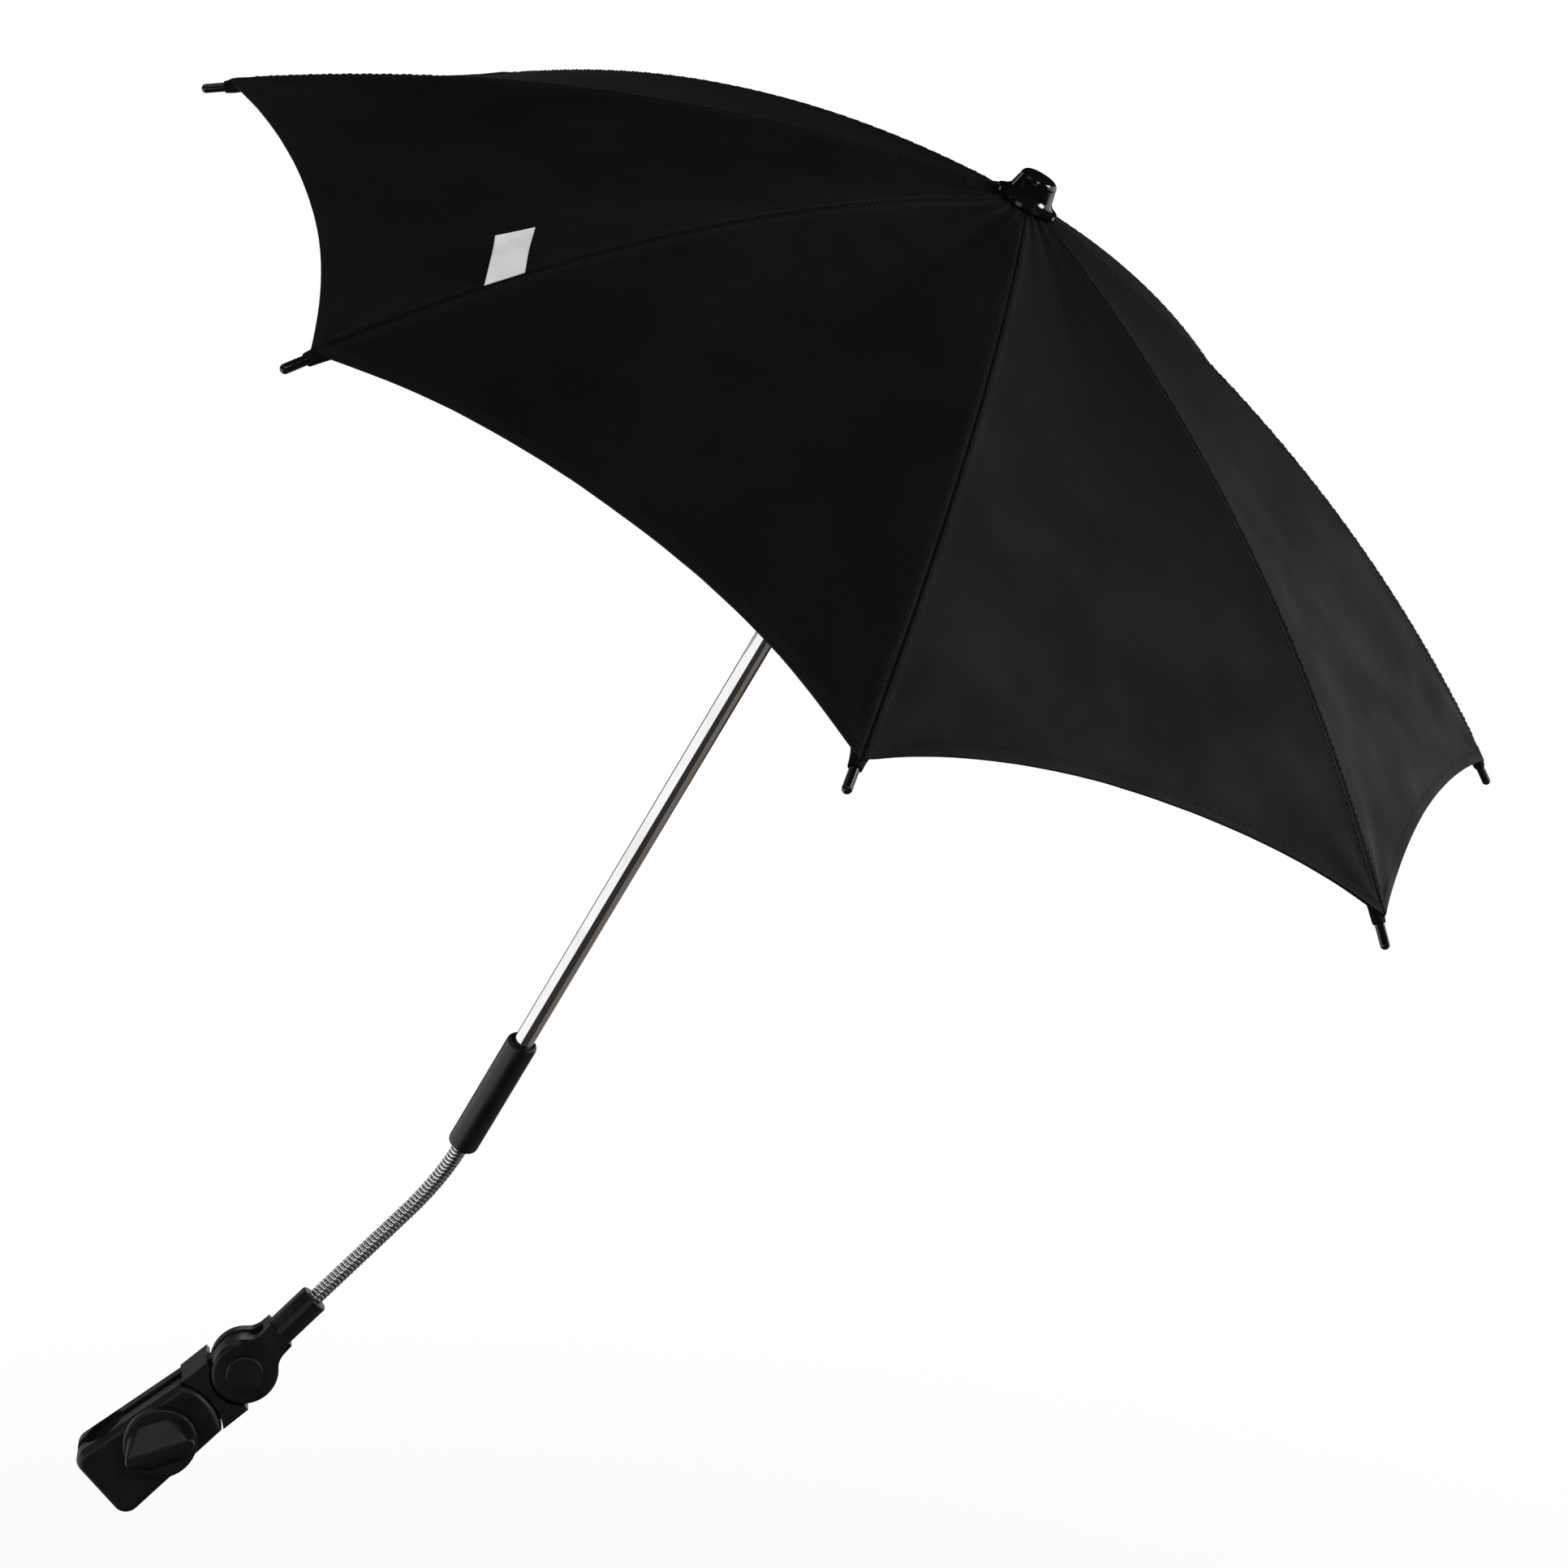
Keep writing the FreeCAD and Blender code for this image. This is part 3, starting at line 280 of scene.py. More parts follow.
def canopy_cloth():
    """Black woven polyester: threads, soft blotches, a near-black line of painted shade along each
    seam's groove with paler edges, hem band.
    """
    material, tree, shader = finish_of("canopy_cloth", specular_ior_level=0.10, sheen_weight=0.02,
                                       sheen_roughness=0.45, sheen_tint=CLOTH_SHEEN,
                                       specular_tint=CLOTH_SHINE)
    place = place_of(tree)
    threads = threads_of(tree)
    seam = painted(tree, "seam")
    hem = painted(tree, "hem")
    warp = yarns(tree, threads, "X", YARN_SCALE)
    weft = yarns(tree, threads, "Y", YARN_SCALE)
    weave = maths(tree, "MULTIPLY", warp, weft)
    blotch = grain(tree, place, scale=24.0, detail=4.0)
    slub = grain(tree, place, scale=900.0, detail=2.0)
    tone = blended(tree, ramp(tree, blotch, 0.3, 0.7), CLOTH_DARK, CLOTH_PALE)
    tone = blended(tree, ramp(tree, slub, 0.35, 0.75, 0.0, 0.5), tone, CLOTH_SLUB)
    welt = ramp(tree, seam, 0.0030, 0.0062, 0.30, 0.0)
    edge = maths(tree, "MULTIPLY", ramp(tree, seam, 0.0008, 0.0022), welt)
    tone = blended(tree, edge, tone, CLOTH_EDGE)
    # painted shade: near-black line along the seam's groove, widened into painted shadow at the gaping
    # seam
    tone = blended(tree, ramp(tree, seam, 0.0004, 0.0012, 1.0, 0.0), tone, CLOTH_SEAM_SHADE)
    band = ramp(tree, hem, HEM_BAND - 0.0004, HEM_BAND + 0.0002, 0.30, 0.0)
    tone = blended(tree, band, tone, CLOTH_HEM)
    rough = ramp(tree, blotch, 0.25, 0.75, 0.56, 0.70)
    height = maths(tree, "ADD", weave, maths(tree, "MULTIPLY", slub, 0.8))
    connect(tree, shader, base_color=tone, roughness=rough,
            normal=bump(tree, height, strength=0.35, distance=0.00012))
    return material


def sewing_thread():
    """Black polyester sewing thread with a little lustre."""
    material, tree, shader = finish_of("sewing_thread", specular_ior_level=0.2)
    place = place_of(tree)
    twist = grain(tree, place, scale=2600.0, detail=1.0)
    tone = blended(tree, twist, THREAD_DARK, THREAD_PALE)
    connect(tree, shader, base_color=tone, roughness=ramp(tree, twist, 0.2, 0.8, 0.38, 0.55),
            normal=bump(tree, twist, strength=0.4, distance=0.0001))
    return material


def tag_satin():
    """White satin ribbon, ribbed across, a little grey at its edges."""
    material, tree, shader = finish_of("tag_satin", specular_ior_level=0.4, sheen_weight=0.15)
    threads = threads_of(tree)
    place = place_of(tree)
    ribs = yarns(tree, threads, "Y", 700.0)
    cross = yarns(tree, threads, "X", 900.0)
    soil = grain(tree, place, scale=120.0, detail=4.0)
    edge = painted(tree, "edge")
    tone = blended(tree, ramp(tree, soil, 0.3, 0.7), SATIN_DARK, SATIN_PALE)
    tone = blended(tree, ramp(tree, edge, 0.0002, 0.0012, 0.35, 0.0), tone, SATIN_EDGE)
    connect(tree, shader, base_color=tone, roughness=ramp(tree, soil, 0.2, 0.8, 0.45, 0.6),
            normal=bump(tree, maths(tree, "ADD", ribs, cross), strength=0.25, distance=0.0001))
    return material


def worn_edges(tree, radius):
    """One at a sharp edge and none on a flat."""
    soft = add(tree, "Bevel", {"Radius": radius}, samples=4).outputs["Normal"]
    true = add(tree, "NewGeometry").outputs["Normal"]
    same = add(tree, "VectorMath", {0: soft, 1: true}, operation="DOT_PRODUCT").outputs["Value"]
    return ramp(tree, same, 0.88, 0.995, 1.0, 0.0)


def moulded_plastic():
    """Black nylon with a fine spark grain, faint flow marks and rubbed edges."""
    material, tree, shader = finish_of("moulded_plastic", specular_ior_level=0.5)
    place = place_of(tree)
    spark = grain(tree, place, scale=2200.0, detail=2.0)
    flow = grain(tree, place, scale=70.0, detail=5.0)
    patches = ramp(tree, grain(tree, place, scale=260.0, detail=3.0), 0.35, 0.7)
    rub = maths(tree, "MULTIPLY", worn_edges(tree, NYLON_EDGE_R), patches)
    tone = blended(tree, ramp(tree, flow, 0.3, 0.7), NYLON_DARK, NYLON_PALE)
    tone = blended(tree, maths(tree, "MULTIPLY", rub, 0.6), tone, NYLON_RUBBED)
    rough = ramp(tree, flow, 0.25, 0.75, 0.33, 0.43)
    rough = maths(tree, "ADD", rough, maths(tree, "MULTIPLY", rub, 0.12))
    connect(tree, shader, base_color=tone, roughness=rough,
            normal=bump(tree, spark, strength=0.16, distance=0.00008))
    return material


def gloss_plastic():
    """Polished black plastic with hairline scuffs."""
    material, tree, shader = finish_of("gloss_plastic", specular_ior_level=0.5, coat_weight=0.2,
                                       coat_roughness=0.04)
    place = place_of(tree)
    scuff = grain(tree, place, scale=420.0, detail=6.0)
    tone = blended(tree, scuff, GLOSS_DARK, GLOSS_PALE)
    connect(tree, shader, base_color=tone, roughness=ramp(tree, scuff, 0.35, 0.8, 0.07, 0.20),
            normal=bump(tree, scuff, strength=0.03, distance=0.0001))
    return material


def chrome_plate():
    """Plated tube: bright, with faint drawing lines and a few dull spots."""
    material, tree, shader = finish_of("chrome_plate", metallic=1.0)
    place = place_of(tree)
    lines = grain(tree, place, scale=1500.0, detail=2.0)
    dull = grain(tree, place, scale=55.0, detail=5.0)
    tone = blended(tree, ramp(tree, dull, 0.35, 0.75), CHROME_BRIGHT, CHROME_DULL)
    connect(tree, shader, base_color=tone, roughness=ramp(tree, dull, 0.3, 0.8, 0.025, 0.07),
            normal=bump(tree, lines, strength=0.02, distance=0.00005))
    return material


def neck_plate():
    """Plated winding of the neck, with painted shade darkening the bottom of its grooves."""
    material, tree, shader = finish_of("neck_plate", metallic=1.0)
    place = place_of(tree)
    groove = painted(tree, "groove")
    dull = grain(tree, place, scale=300.0, detail=4.0)
    tone = blended(tree, ramp(tree, dull, 0.35, 0.75), NECK_BRIGHT, NECK_DULL)
    # painted shade: darker towards the bottom of each groove of the winding
    tone = blended(tree, ramp(tree, groove, 0.52, 0.92), tone, NECK_GROOVE_SHADE)
    connect(tree, shader, base_color=tone, roughness=ramp(tree, dull, 0.3, 0.8, 0.26, 0.38),
            normal=bump(tree, dull, strength=0.05, distance=0.0001))
    return material


def zinc_steel():
    """Zinc-plated rods and wires, mottled grey."""
    material, tree, shader = finish_of("zinc_steel", metallic=1.0)
    place = place_of(tree)
    spangle = grain(tree, place, scale=420.0, detail=4.0)
    tone = blended(tree, spangle, ZINC_DARK, ZINC_PALE)
    connect(tree, shader, base_color=tone, roughness=ramp(tree, spangle, 0.25, 0.75, 0.24, 0.42),
            normal=bump(tree, spangle, strength=0.08, distance=0.0001))
    return material


def grip_rubber():
    """Matt black rubber with a fine pebble."""
    material, tree, shader = finish_of("grip_rubber", specular_ior_level=0.3)
    place = place_of(tree)
    pebble = add(tree, "TexVoronoi", {"Vector": place, "Scale": 1100.0}).outputs["Distance"]
    dust = grain(tree, place, scale=90.0, detail=4.0)
    tone = blended(tree, ramp(tree, dust, 0.35, 0.8), RUBBER_DARK, RUBBER_DUSTY)
    connect(tree, shader, base_color=tone, roughness=ramp(tree, dust, 0.2, 0.8, 0.7, 0.85),
            normal=bump(tree, pebble, strength=0.5, distance=0.0002))
    return material


CLOTH = canopy_cloth()
THREAD = sewing_thread()
SATIN = tag_satin()
PLASTIC = moulded_plastic()
GLOSS = gloss_plastic()
CHROME = chrome_plate()
NECK = neck_plate()
STEEL = zinc_steel()
RUBBER = grip_rubber()


def look_of(node):
    """Finish of a solid that keeps its own shape."""
    if node.startswith("rib_tip") or node == "top_cap":
        return GLOSS
    if node == "pole":
        return CHROME
    if node.endswith("_pad"):
        return RUBBER
    wires = ("rib_", "stretcher_", "crown_wire", "runner_wire", "clamp_screw", "guide_pins")
    return STEEL if node.startswith(wires) else PLASTIC


for node in nodes:
    mesh = nodes[node].data
    mesh.materials.clear()
    mesh.materials.append(look_of(node))


# Mesh helpers

SHARP_ANGLE = 50.0


def new_object(name, mesh, material):
    """Object with a mesh and its finish, in the scene."""
    mesh.materials.append(material)
    obj = bpy.data.objects.new(name, mesh)
    bpy.context.collection.objects.link(obj)
    return obj


def bake(obj):
    """Turns an object and its modifiers into a plain mesh."""
    depsgraph = bpy.context.evaluated_depsgraph_get()
    mesh = bpy.data.meshes.new_from_object(obj.evaluated_get(depsgraph))
    obj.modifiers.clear()
    obj.data = mesh


def crisp(obj, degrees=SHARP_ANGLE):
    """Smooth shading that stops at the edges of a wall."""
    obj.data.shade_smooth()
    obj.data.set_sharp_from_angle(angle=math.radians(degrees))


def grid_faces(rows, columns, closed=False):
    """Quads of a grid of points, row by row; a closed one joins its last column to its first."""
    faces = []
    for i in range(rows - 1):
        for j in range(columns if closed else columns - 1):
            a = i * columns + j
            b = i * columns + (j + 1) % columns
            faces.append((a, a + columns, b + columns, b))
    return faces


def set_points(mesh, name, values):
    """Keeps a number for each point of a mesh."""
    attribute = mesh.attributes.new(name, "FLOAT", "POINT")
    attribute.data.foreach_set("value", np.asarray(values, np.float32).ravel())


def set_uv(mesh, name, uv):
    """UV map in metres from a pair for each point."""
    layer = mesh.uv_layers.new(name=name)
    corners = np.zeros(len(mesh.loops), np.int32)
    mesh.loops.foreach_get("vertex_index", corners)
    layer.data.foreach_set("uv", np.asarray(uv, np.float32).reshape(-1, 2)[corners].ravel())


def area_of(mesh):
    """Area of all faces."""
    return sum(p.area for p in mesh.polygons)


# Canopy cloth: two pieces on each rib, sewn together over it, each out to the middle of a panel

# Panels and corners that differ from the rest, by number
PANEL_CUT = {0: 0.0155, 1: 0.022, 2: 0.019, 3: 0.011}
PANEL_CREASE = {0: 0.10, 1: 0.55, 2: 0.35, 3: 0.12}
CREASE_DEFAULT = 0.15
APEX_CREASE_PANEL = 2
APEX_CREASE_FADE = (0.15, 0.45)
CORNER_WRINKLE = {1: 0.0010, 3: 0.0016, 4: 0.0016}
CORNER_WRINKLE_DEFAULT = 0.0008

# Heights of the cloth's relief, and how far each part of it goes
CORNER_REACH = 0.055
CORNER_ROOT = 0.014
CORNER_FOLDS = 11
CORNER_SHIFT = 1.3
WAVE_HEIGHT = 0.0006
WAVE_SCALE = 13.0
CRUMPLE_HEIGHT = 0.00016
CRUMPLE_SCALE = 85.0
RIB_HOLD = 0.018
SEAM_HOLD = 0.004
PLEAT_HEIGHT = 0.0006
PLEAT_REACH = 0.030
PLEATS = 3
CROWN_FOLD_HEIGHT = 0.00045
CROWN_FOLD_AT = 0.045
CROWN_FOLD_LENGTH = 0.05
CROWN_FOLD_REACH = 0.02
CROWN_FOLD_PITCH = 0.024
PUCKER_HEIGHT = 0.00022
PUCKER_PITCH = 0.0085
PUCKER_DRIFT = 2.0
PUCKER_DRIFT_LENGTH = 0.031
PUCKER_SHIFT = 0.9
PUCKER_REACH = 0.006
PUCKER_ROOT = 0.0012
SEAM_GROOVE = 0.0009
SEAM_GROOVE_WIDTH = 0.0007
SEAM_WELT = 0.0002
SEAM_WELT_AT = 0.0028
SEAM_WELT_WIDTH = 0.0016
SHADED_SEAM = 3
SHADED_FADE = (0.45, 0.75)
SHADED_GROOVE = 0.0004
SEAM_SHADE_WIDENING = 0.55
HEM_STEP = 0.0004
HEM_STEP_IN = 0.0006
HEM_STEP_OUT = 0.0004
HEM_DIP = 0.7
HEM_DIP_WIDTH = 0.0006
HEM_SEARCH_FROM = 0.3
HEM_SEARCH_STEPS = 32


def smooth_step(values, low, high):
    """Goes from 0 to 1 as the values go from low to high."""
    t = np.clip((values - low) / (high - low), 0, 1)
    return t * t * (3 - 2 * t)


def rib_line(share):
    """Distance from the pole and height of the rib's line at a share of the cloth's length."""
    slope = fabric_start + (slope_end - fabric_start) * share
    return arc_x + arc_r * np.sin(slope), arc_z + arc_r * np.cos(slope)


def half_width(share):
    """Distance from the rib to the middle of the panel."""
    return rib_line(share)[0] * math.sin(HALF_STEP)


def taut(share, side, a, sharp=0.0):
    """Cloth with no wrinkles: a goes from 0 on the rib to 1 in the middle of the panel."""
    x, z = rib_line(share)
    drop = CREASE_SAG * 4 * share * (1 - share)
    sag = drop * ((1 - sharp) * (1 - (1 - a) ** 2) + sharp * a)
    return (x - x * math.sin(HALF_STEP) ** 2 * a,
            side * x * math.cos(HALF_STEP) * math.sin(HALF_STEP) * a, z - sag)


def panel_of(k, side):
    """Number of the panel on one side of a rib."""
    return (k if side > 0 else k - 1) % RIB_COUNT


def hem_limit(k, side, reach):
    """Share at which the hem's hollow ends the cloth; reach gives the place across for a share."""
    cut = PANEL_CUT.get(panel_of(k, side), HEM_CUT)
    hem_r = (hem_half ** 2 + cut ** 2) / (2 * cut)
    hem_reach = CANOPY_R * math.cos(HALF_STEP) - cut + hem_r
    centre_x = hem_reach * math.cos(HALF_STEP)
    centre_y = side * hem_reach * math.sin(HALF_STEP)
    low, high = HEM_SEARCH_FROM, 1.0
    for _ in range(HEM_SEARCH_STEPS):
        middle = (low + high) / 2
        x, y, _z = taut(middle, side, reach(middle))
        if math.hypot(x - centre_x, y - centre_y) > hem_r:
            low = middle
        else:
            high = middle
    return low


def column_reach(column):
    """Place across the panel of a mesh column: close together at the seam, even further out."""
    def reach(share):
        width = half_width(share)
        near = min(1.0, width / SEAM_ROOM)
        if column < len(SEAM_COLUMNS):
            return SEAM_COLUMNS[column] * near / width
        first = SEAM_COLUMNS[-1] * near / width
        step = (column - len(SEAM_COLUMNS) + 1) / PANEL_COLUMNS
        return first + (1 - first) * step
    return reach


def crease_of(panel, share):
    """How sharp the fold in the middle of a panel is."""
    sharp = PANEL_CREASE.get(panel, CREASE_DEFAULT)
    if panel == APEX_CREASE_PANEL:
        return sharp * (1 - smooth_step(share, *APEX_CREASE_FADE))
    return sharp * np.ones_like(share)


def shaded(k, share):
    """How far the one seam that gapes towards its corner is open; this deepens its groove and widens the
    painted shade along it.
    """
    return smooth_step(share, *SHADED_FADE) if k == SHADED_SEAM else np.zeros_like(share)


def seam_relief(k, share, side, d):
    """Groove, welts and puckers of a seam at a distance from it."""
    along = share * cloth_length
    groove = SEAM_GROOVE + SHADED_GROOVE * shaded(k, share)
    welt = SEAM_WELT * np.exp(-((d - SEAM_WELT_AT) / SEAM_WELT_WIDTH) ** 2)
    seam = -groove * np.exp(-(d / SEAM_GROOVE_WIDTH) ** 2) + welt
    drift = PUCKER_DRIFT * np.sin(along / PUCKER_DRIFT_LENGTH + k)
    beat = 2 * math.pi * along / PUCKER_PITCH + drift + (PUCKER_SHIFT if side > 0 else 0)
    pucker = PUCKER_HEIGHT * np.sin(beat) * np.exp(-d / PUCKER_REACH) * (1 - np.exp(-d / PUCKER_ROOT))
    return seam + pucker


def hem_relief(hem):
    """Step of the folded hem, with the dip along its stitches."""
    band = HEM_STEP * (1 - smooth_step(hem, HEM_BAND - HEM_STEP_IN, HEM_BAND + HEM_STEP_OUT))
    return band - HEM_STEP * HEM_DIP * np.exp(-((hem - HEM_STITCH) / HEM_DIP_WIDTH) ** 2)


def corner_folds(k, side, a, x, y):
    """Folds that spread from the corner at a rib's end."""
    away = np.hypot(CANOPY_R - x, y)
    turn = np.arctan2(side * y, CANOPY_R - x)
    pull = CORNER_WRINKLE.get(k, CORNER_WRINKLE_DEFAULT) * np.exp(-away / CORNER_REACH)
    pull = pull * (1 - np.exp(-(away / CORNER_ROOT) ** 2))
    return pull * np.sin(CORNER_FOLDS * turn + CORNER_SHIFT * k + side) * (1 - a * a) ** 2


def crown_folds(along, d, a):
    """Slanting folds below the crown, beside one seam."""
    diagonal = (along + d) / CROWN_FOLD_PITCH
    drag = CROWN_FOLD_HEIGHT * np.exp(-((along - CROWN_FOLD_AT) / CROWN_FOLD_LENGTH) ** 2)
    drag = drag * np.exp(-d / CROWN_FOLD_REACH)
    return drag * np.sin(2 * math.pi * diagonal) * (1 - a * a)


def wrinkles(k, share, side, a, x, y, hem):
    """Height of seam, hem, puckers, pleats and folds above the taut cloth."""
    reach = rib_line(share)[0]
    d = a * reach * math.sin(HALF_STEP)
    pleat = PLEAT_HEIGHT * np.exp(-(reach - FABRIC_START_R) / PLEAT_REACH)
    pleat = pleat * np.cos(PLEATS * math.pi * a)
    folds = corner_folds(k, side, a, x, y)
    if k == TAG_RIB and side < 0:
        folds = folds + crown_folds(share * cloth_length, d, a)
    loose = 1 - np.exp(-d / SEAM_HOLD)
    return seam_relief(k, share, side, d) + pleat + hem_relief(hem) + folds * loose


def soft_wave(points, held):
    """Broad unevenness of the cloth, none where a rib holds it."""
    out = np.zeros(len(points))
    for i, (p, h) in enumerate(zip(points, held)):
        at = Vector(p)
        wave = WAVE_HEIGHT * noise.noise(at * WAVE_SCALE)
        out[i] = h * (wave + CRUMPLE_HEIGHT * noise.noise(at * CRUMPLE_SCALE))
    return out


def cloth_surface(k, share, side, a, hem):
    """Points of the finished cloth of one gore, in the frame of its own rib."""
    x, y, z = taut(share, side, a, crease_of(panel_of(k, side), share))
    height = z + wrinkles(k, share, side, a, x, y, hem)
    points = np.stack([x, y, height], -1).reshape(-1, 3)
    turn = 2 * HALF_STEP * k
    cos, sin = math.cos(turn), math.sin(turn)
    spun = points @ np.array(((cos, sin, 0), (-sin, cos, 0), (0, 0, 1)))
    held = 1 - np.exp(-(a * half_width(share)).ravel() / RIB_HOLD)
    points[:, 2] += soft_wave(spun, held)
    return points


def row_shares(limit):
    """Shares of one column's points, close together at the hem."""
    last = limit - HEM_ROOM / cloth_length
    even = [last * i / PANEL_ROWS for i in range(PANEL_ROWS + 1)]
    return even + [limit - h / cloth_length for h in HEM_ROWS]


def gore_half(k, side, columns):
    """Grid of points of half a gore, with each point's distance to the seam and the hem."""
    shares, acrosses = [], []
    for column in columns:
        reach = column_reach(column)
        limit = hem_limit(k, side, reach)
        line = row_shares(limit)
        shares.append(line)
        acrosses.append([reach(s) for s in line])
    share = np.array(shares).T
    a = np.array(acrosses).T
    hem = (share[-1] - share) * cloth_length
    points = cloth_surface(k, share, side, a, hem)
    return points.reshape(*share.shape, 3), a * half_width(share), hem, share * cloth_length


def gore_mesh(k, side, name):
    """Cloth on one side of a rib with no thickness, and each point's distance to the hem."""
    columns = list(range(len(SEAM_COLUMNS) + PANEL_COLUMNS))
    points, across, hem, along = gore_half(k, side, columns[::side])
    mesh = bpy.data.meshes.new(name)
    mesh.from_pydata([tuple(p) for p in points.reshape(-1, 3)], [], grid_faces(*points.shape[:2]))
    # at the gaping seam the stored distance is shrunk, which widens the painted seam shade into a
    # painted shadow of the fold over it
    set_points(mesh, "seam", across * (1 - SEAM_SHADE_WIDENING * shaded(k, along / cloth_length)))
    set_points(mesh, "hem", hem)
    set_uv(mesh, "threads", np.stack([along, side * across], -1))
    return mesh, hem.ravel()


def named(kind, k, side):
    """Name of a piece on one side of a rib."""
    return "%s_%d_%s" % (kind, k + 1, "right" if side > 0 else "left")


def dress(obj, k):
    """Makes a soft piece beside a rib move with it, on a mesh of its own."""
    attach(obj, "rib_%d" % (k + 1))
    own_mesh(obj)


def make_gore(k, side):
    """Cloth on one side of a rib, doubled along its hem."""
    name = named("cloth", k, side)
    mesh, hem = gore_mesh(k, side, name)
    mesh.transform(spoke(k))
    flat_area = area_of(mesh)
    obj = new_object(name, mesh, CLOTH)
    thick = obj.vertex_groups.new(name="hem")
    for index in np.nonzero(hem < HEM_BAND)[0]:
        thick.add([int(index)], 1.0, "REPLACE")
    solid = obj.modifiers.new("thickness", "SOLIDIFY")
    solid.thickness = HEM_T
    solid.offset = -1
    solid.vertex_group = "hem"
    solid.thickness_vertex_group = CLOTH_T / HEM_T
    bake(obj)
    obj.vertex_groups.clear()
    crisp(obj)
    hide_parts("gore_%d" % (k + 1))
    dress(obj, k)


# Stitches: rows of thread along the hem and on both sides of each seam

HEM_LINE_STEPS = 60
HEM_LINE_END = 0.995
HEM_LINE_RISE = 0.6        # of the thread's radius
SEAM_LINE_STEPS = 160
SEAM_LINE_START = 0.05
SEAM_LINE_MARGIN = 0.012
SEAM_LINE_RISE = 0.4       # of the thread's radius


def stitch_tree():
    """Geometry Nodes tree that lays one stitch at each step of a line."""
    tree = bpy.data.node_groups.new("stitch_rows", "GeometryNodeTree")
    face = tree.interface
    face.new_socket("Lines", in_out="INPUT", socket_type="NodeSocketGeometry")
    for name in ("Pitch", "Stitch Length", "Thread Radius"):
        face.new_socket(name, in_out="INPUT", socket_type="NodeSocketFloat")
    face.new_socket("Thread", in_out="INPUT", socket_type="NodeSocketMaterial")
    face.new_socket("Stitches", in_out="OUTPUT", socket_type="NodeSocketGeometry")
    new, link = tree.nodes.new, tree.links.new
    start, end = new("NodeGroupInput"), new("NodeGroupOutput")
    curve = new("GeometryNodeMeshToCurve")
    steps = new("GeometryNodeResampleCurve")
    steps.mode = "LENGTH"
    link(start.outputs["Lines"], curve.inputs["Mesh"])
    link(curve.outputs["Curve"], steps.inputs["Curve"])
    link(start.outputs["Pitch"], steps.inputs["Length"])
    stitch = new("GeometryNodeMeshIcoSphere")
    stitch.inputs["Radius"].default_value = 1.0
    stitch.inputs["Subdivisions"].default_value = 1
    size = new("ShaderNodeCombineXYZ")
    half = new("ShaderNodeMath")
    half.operation = "MULTIPLY"
    half.inputs[1].default_value = 0.5
    link(start.outputs["Stitch Length"], half.inputs[0])
    link(start.outputs["Thread Radius"], size.inputs["X"])
    link(start.outputs["Thread Radius"], size.inputs["Y"])
    link(half.outputs[0], size.inputs["Z"])
    heading = new("FunctionNodeAlignRotationToVector")
    heading.axis = "Z"
    link(new("GeometryNodeInputTangent").outputs["Tangent"], heading.inputs["Vector"])
    laid = new("GeometryNodeInstanceOnPoints")
    link(steps.outputs["Curve"], laid.inputs["Points"])
    link(stitch.outputs["Mesh"], laid.inputs["Instance"])
    link(heading.outputs["Rotation"], laid.inputs["Rotation"])
    link(size.outputs["Vector"], laid.inputs["Scale"])
    real = new("GeometryNodeRealizeInstances")
    look = new("GeometryNodeSetMaterial")
    link(laid.outputs["Instances"], real.inputs["Geometry"])
    link(real.outputs["Geometry"], look.inputs["Geometry"])
    link(start.outputs["Thread"], look.inputs["Material"])
    link(look.outputs["Geometry"], end.inputs["Stitches"])
    return tree


STITCHES = stitch_tree()


def lay_stitches(obj, pitch, length, radius):
    """Runs the stitch tree on an object's lines and keeps the result as its mesh."""
    modifier = obj.modifiers.new("stitches", "NODES")
    modifier.node_group = STITCHES
    values = {"Pitch": pitch, "Stitch Length": length, "Thread Radius": radius, "Thread": THREAD}
    for item in STITCHES.interface.items_tree:
        if item.in_out == "INPUT" and item.name in values:
            modifier[item.identifier] = values[item.name]
    bake(obj)
    obj.data.shade_smooth()


def lines_mesh(name, lines):
    """Mesh of edges only, one open line after another."""
    points, edges = [], []
    for line in lines:
        first = len(points)
        points += [tuple(p) for p in line]
        edges += [(i, i + 1) for i in range(first, len(points) - 1)]
    mesh = bpy.data.meshes.new(name)
    mesh.from_pydata(points, edges, [])
    return mesh


def hem_line(k, side):
    """Stitch line along the hem, from the rib to the middle of the panel."""
    steps = np.linspace(0.0, HEM_LINE_END, HEM_LINE_STEPS)
    limit = np.array([hem_limit(k, side, lambda s, a=a: a) for a in steps])
    share = limit - HEM_STITCH / cloth_length
    points = cloth_surface(k, share, side, steps, np.full_like(steps, HEM_STITCH))
    return points + np.array((0, 0, THREAD_R * HEM_LINE_RISE))


def seam_line(k, side):
    """Stitch line beside a seam, from the crown to the hem."""
    share = np.linspace(SEAM_LINE_START, 1 - SEAM_LINE_MARGIN / cloth_length, SEAM_LINE_STEPS)
    width = half_width(share)
    a = SEAM_STITCH * np.minimum(1.0, width / SEAM_ROOM) / width
    points = cloth_surface(k, share, side, a, (1 - share) * cloth_length)
    return points + np.array((0, 0, THREAD_R * SEAM_LINE_RISE))


def make_stitches(k, side):
    """Stitches of the hem and the seam on one side of a rib."""
    name = named("stitches", k, side)
    mesh = lines_mesh(name, [hem_line(k, side), seam_line(k, side)])
    mesh.transform(spoke(k))
    obj = new_object(name, mesh, THREAD)
    lay_stitches(obj, STITCH_PITCH, STITCH_LENGTH, THREAD_R)
    dress(obj, k)


# Corner pockets: the cloth's end, drawn together round each tip

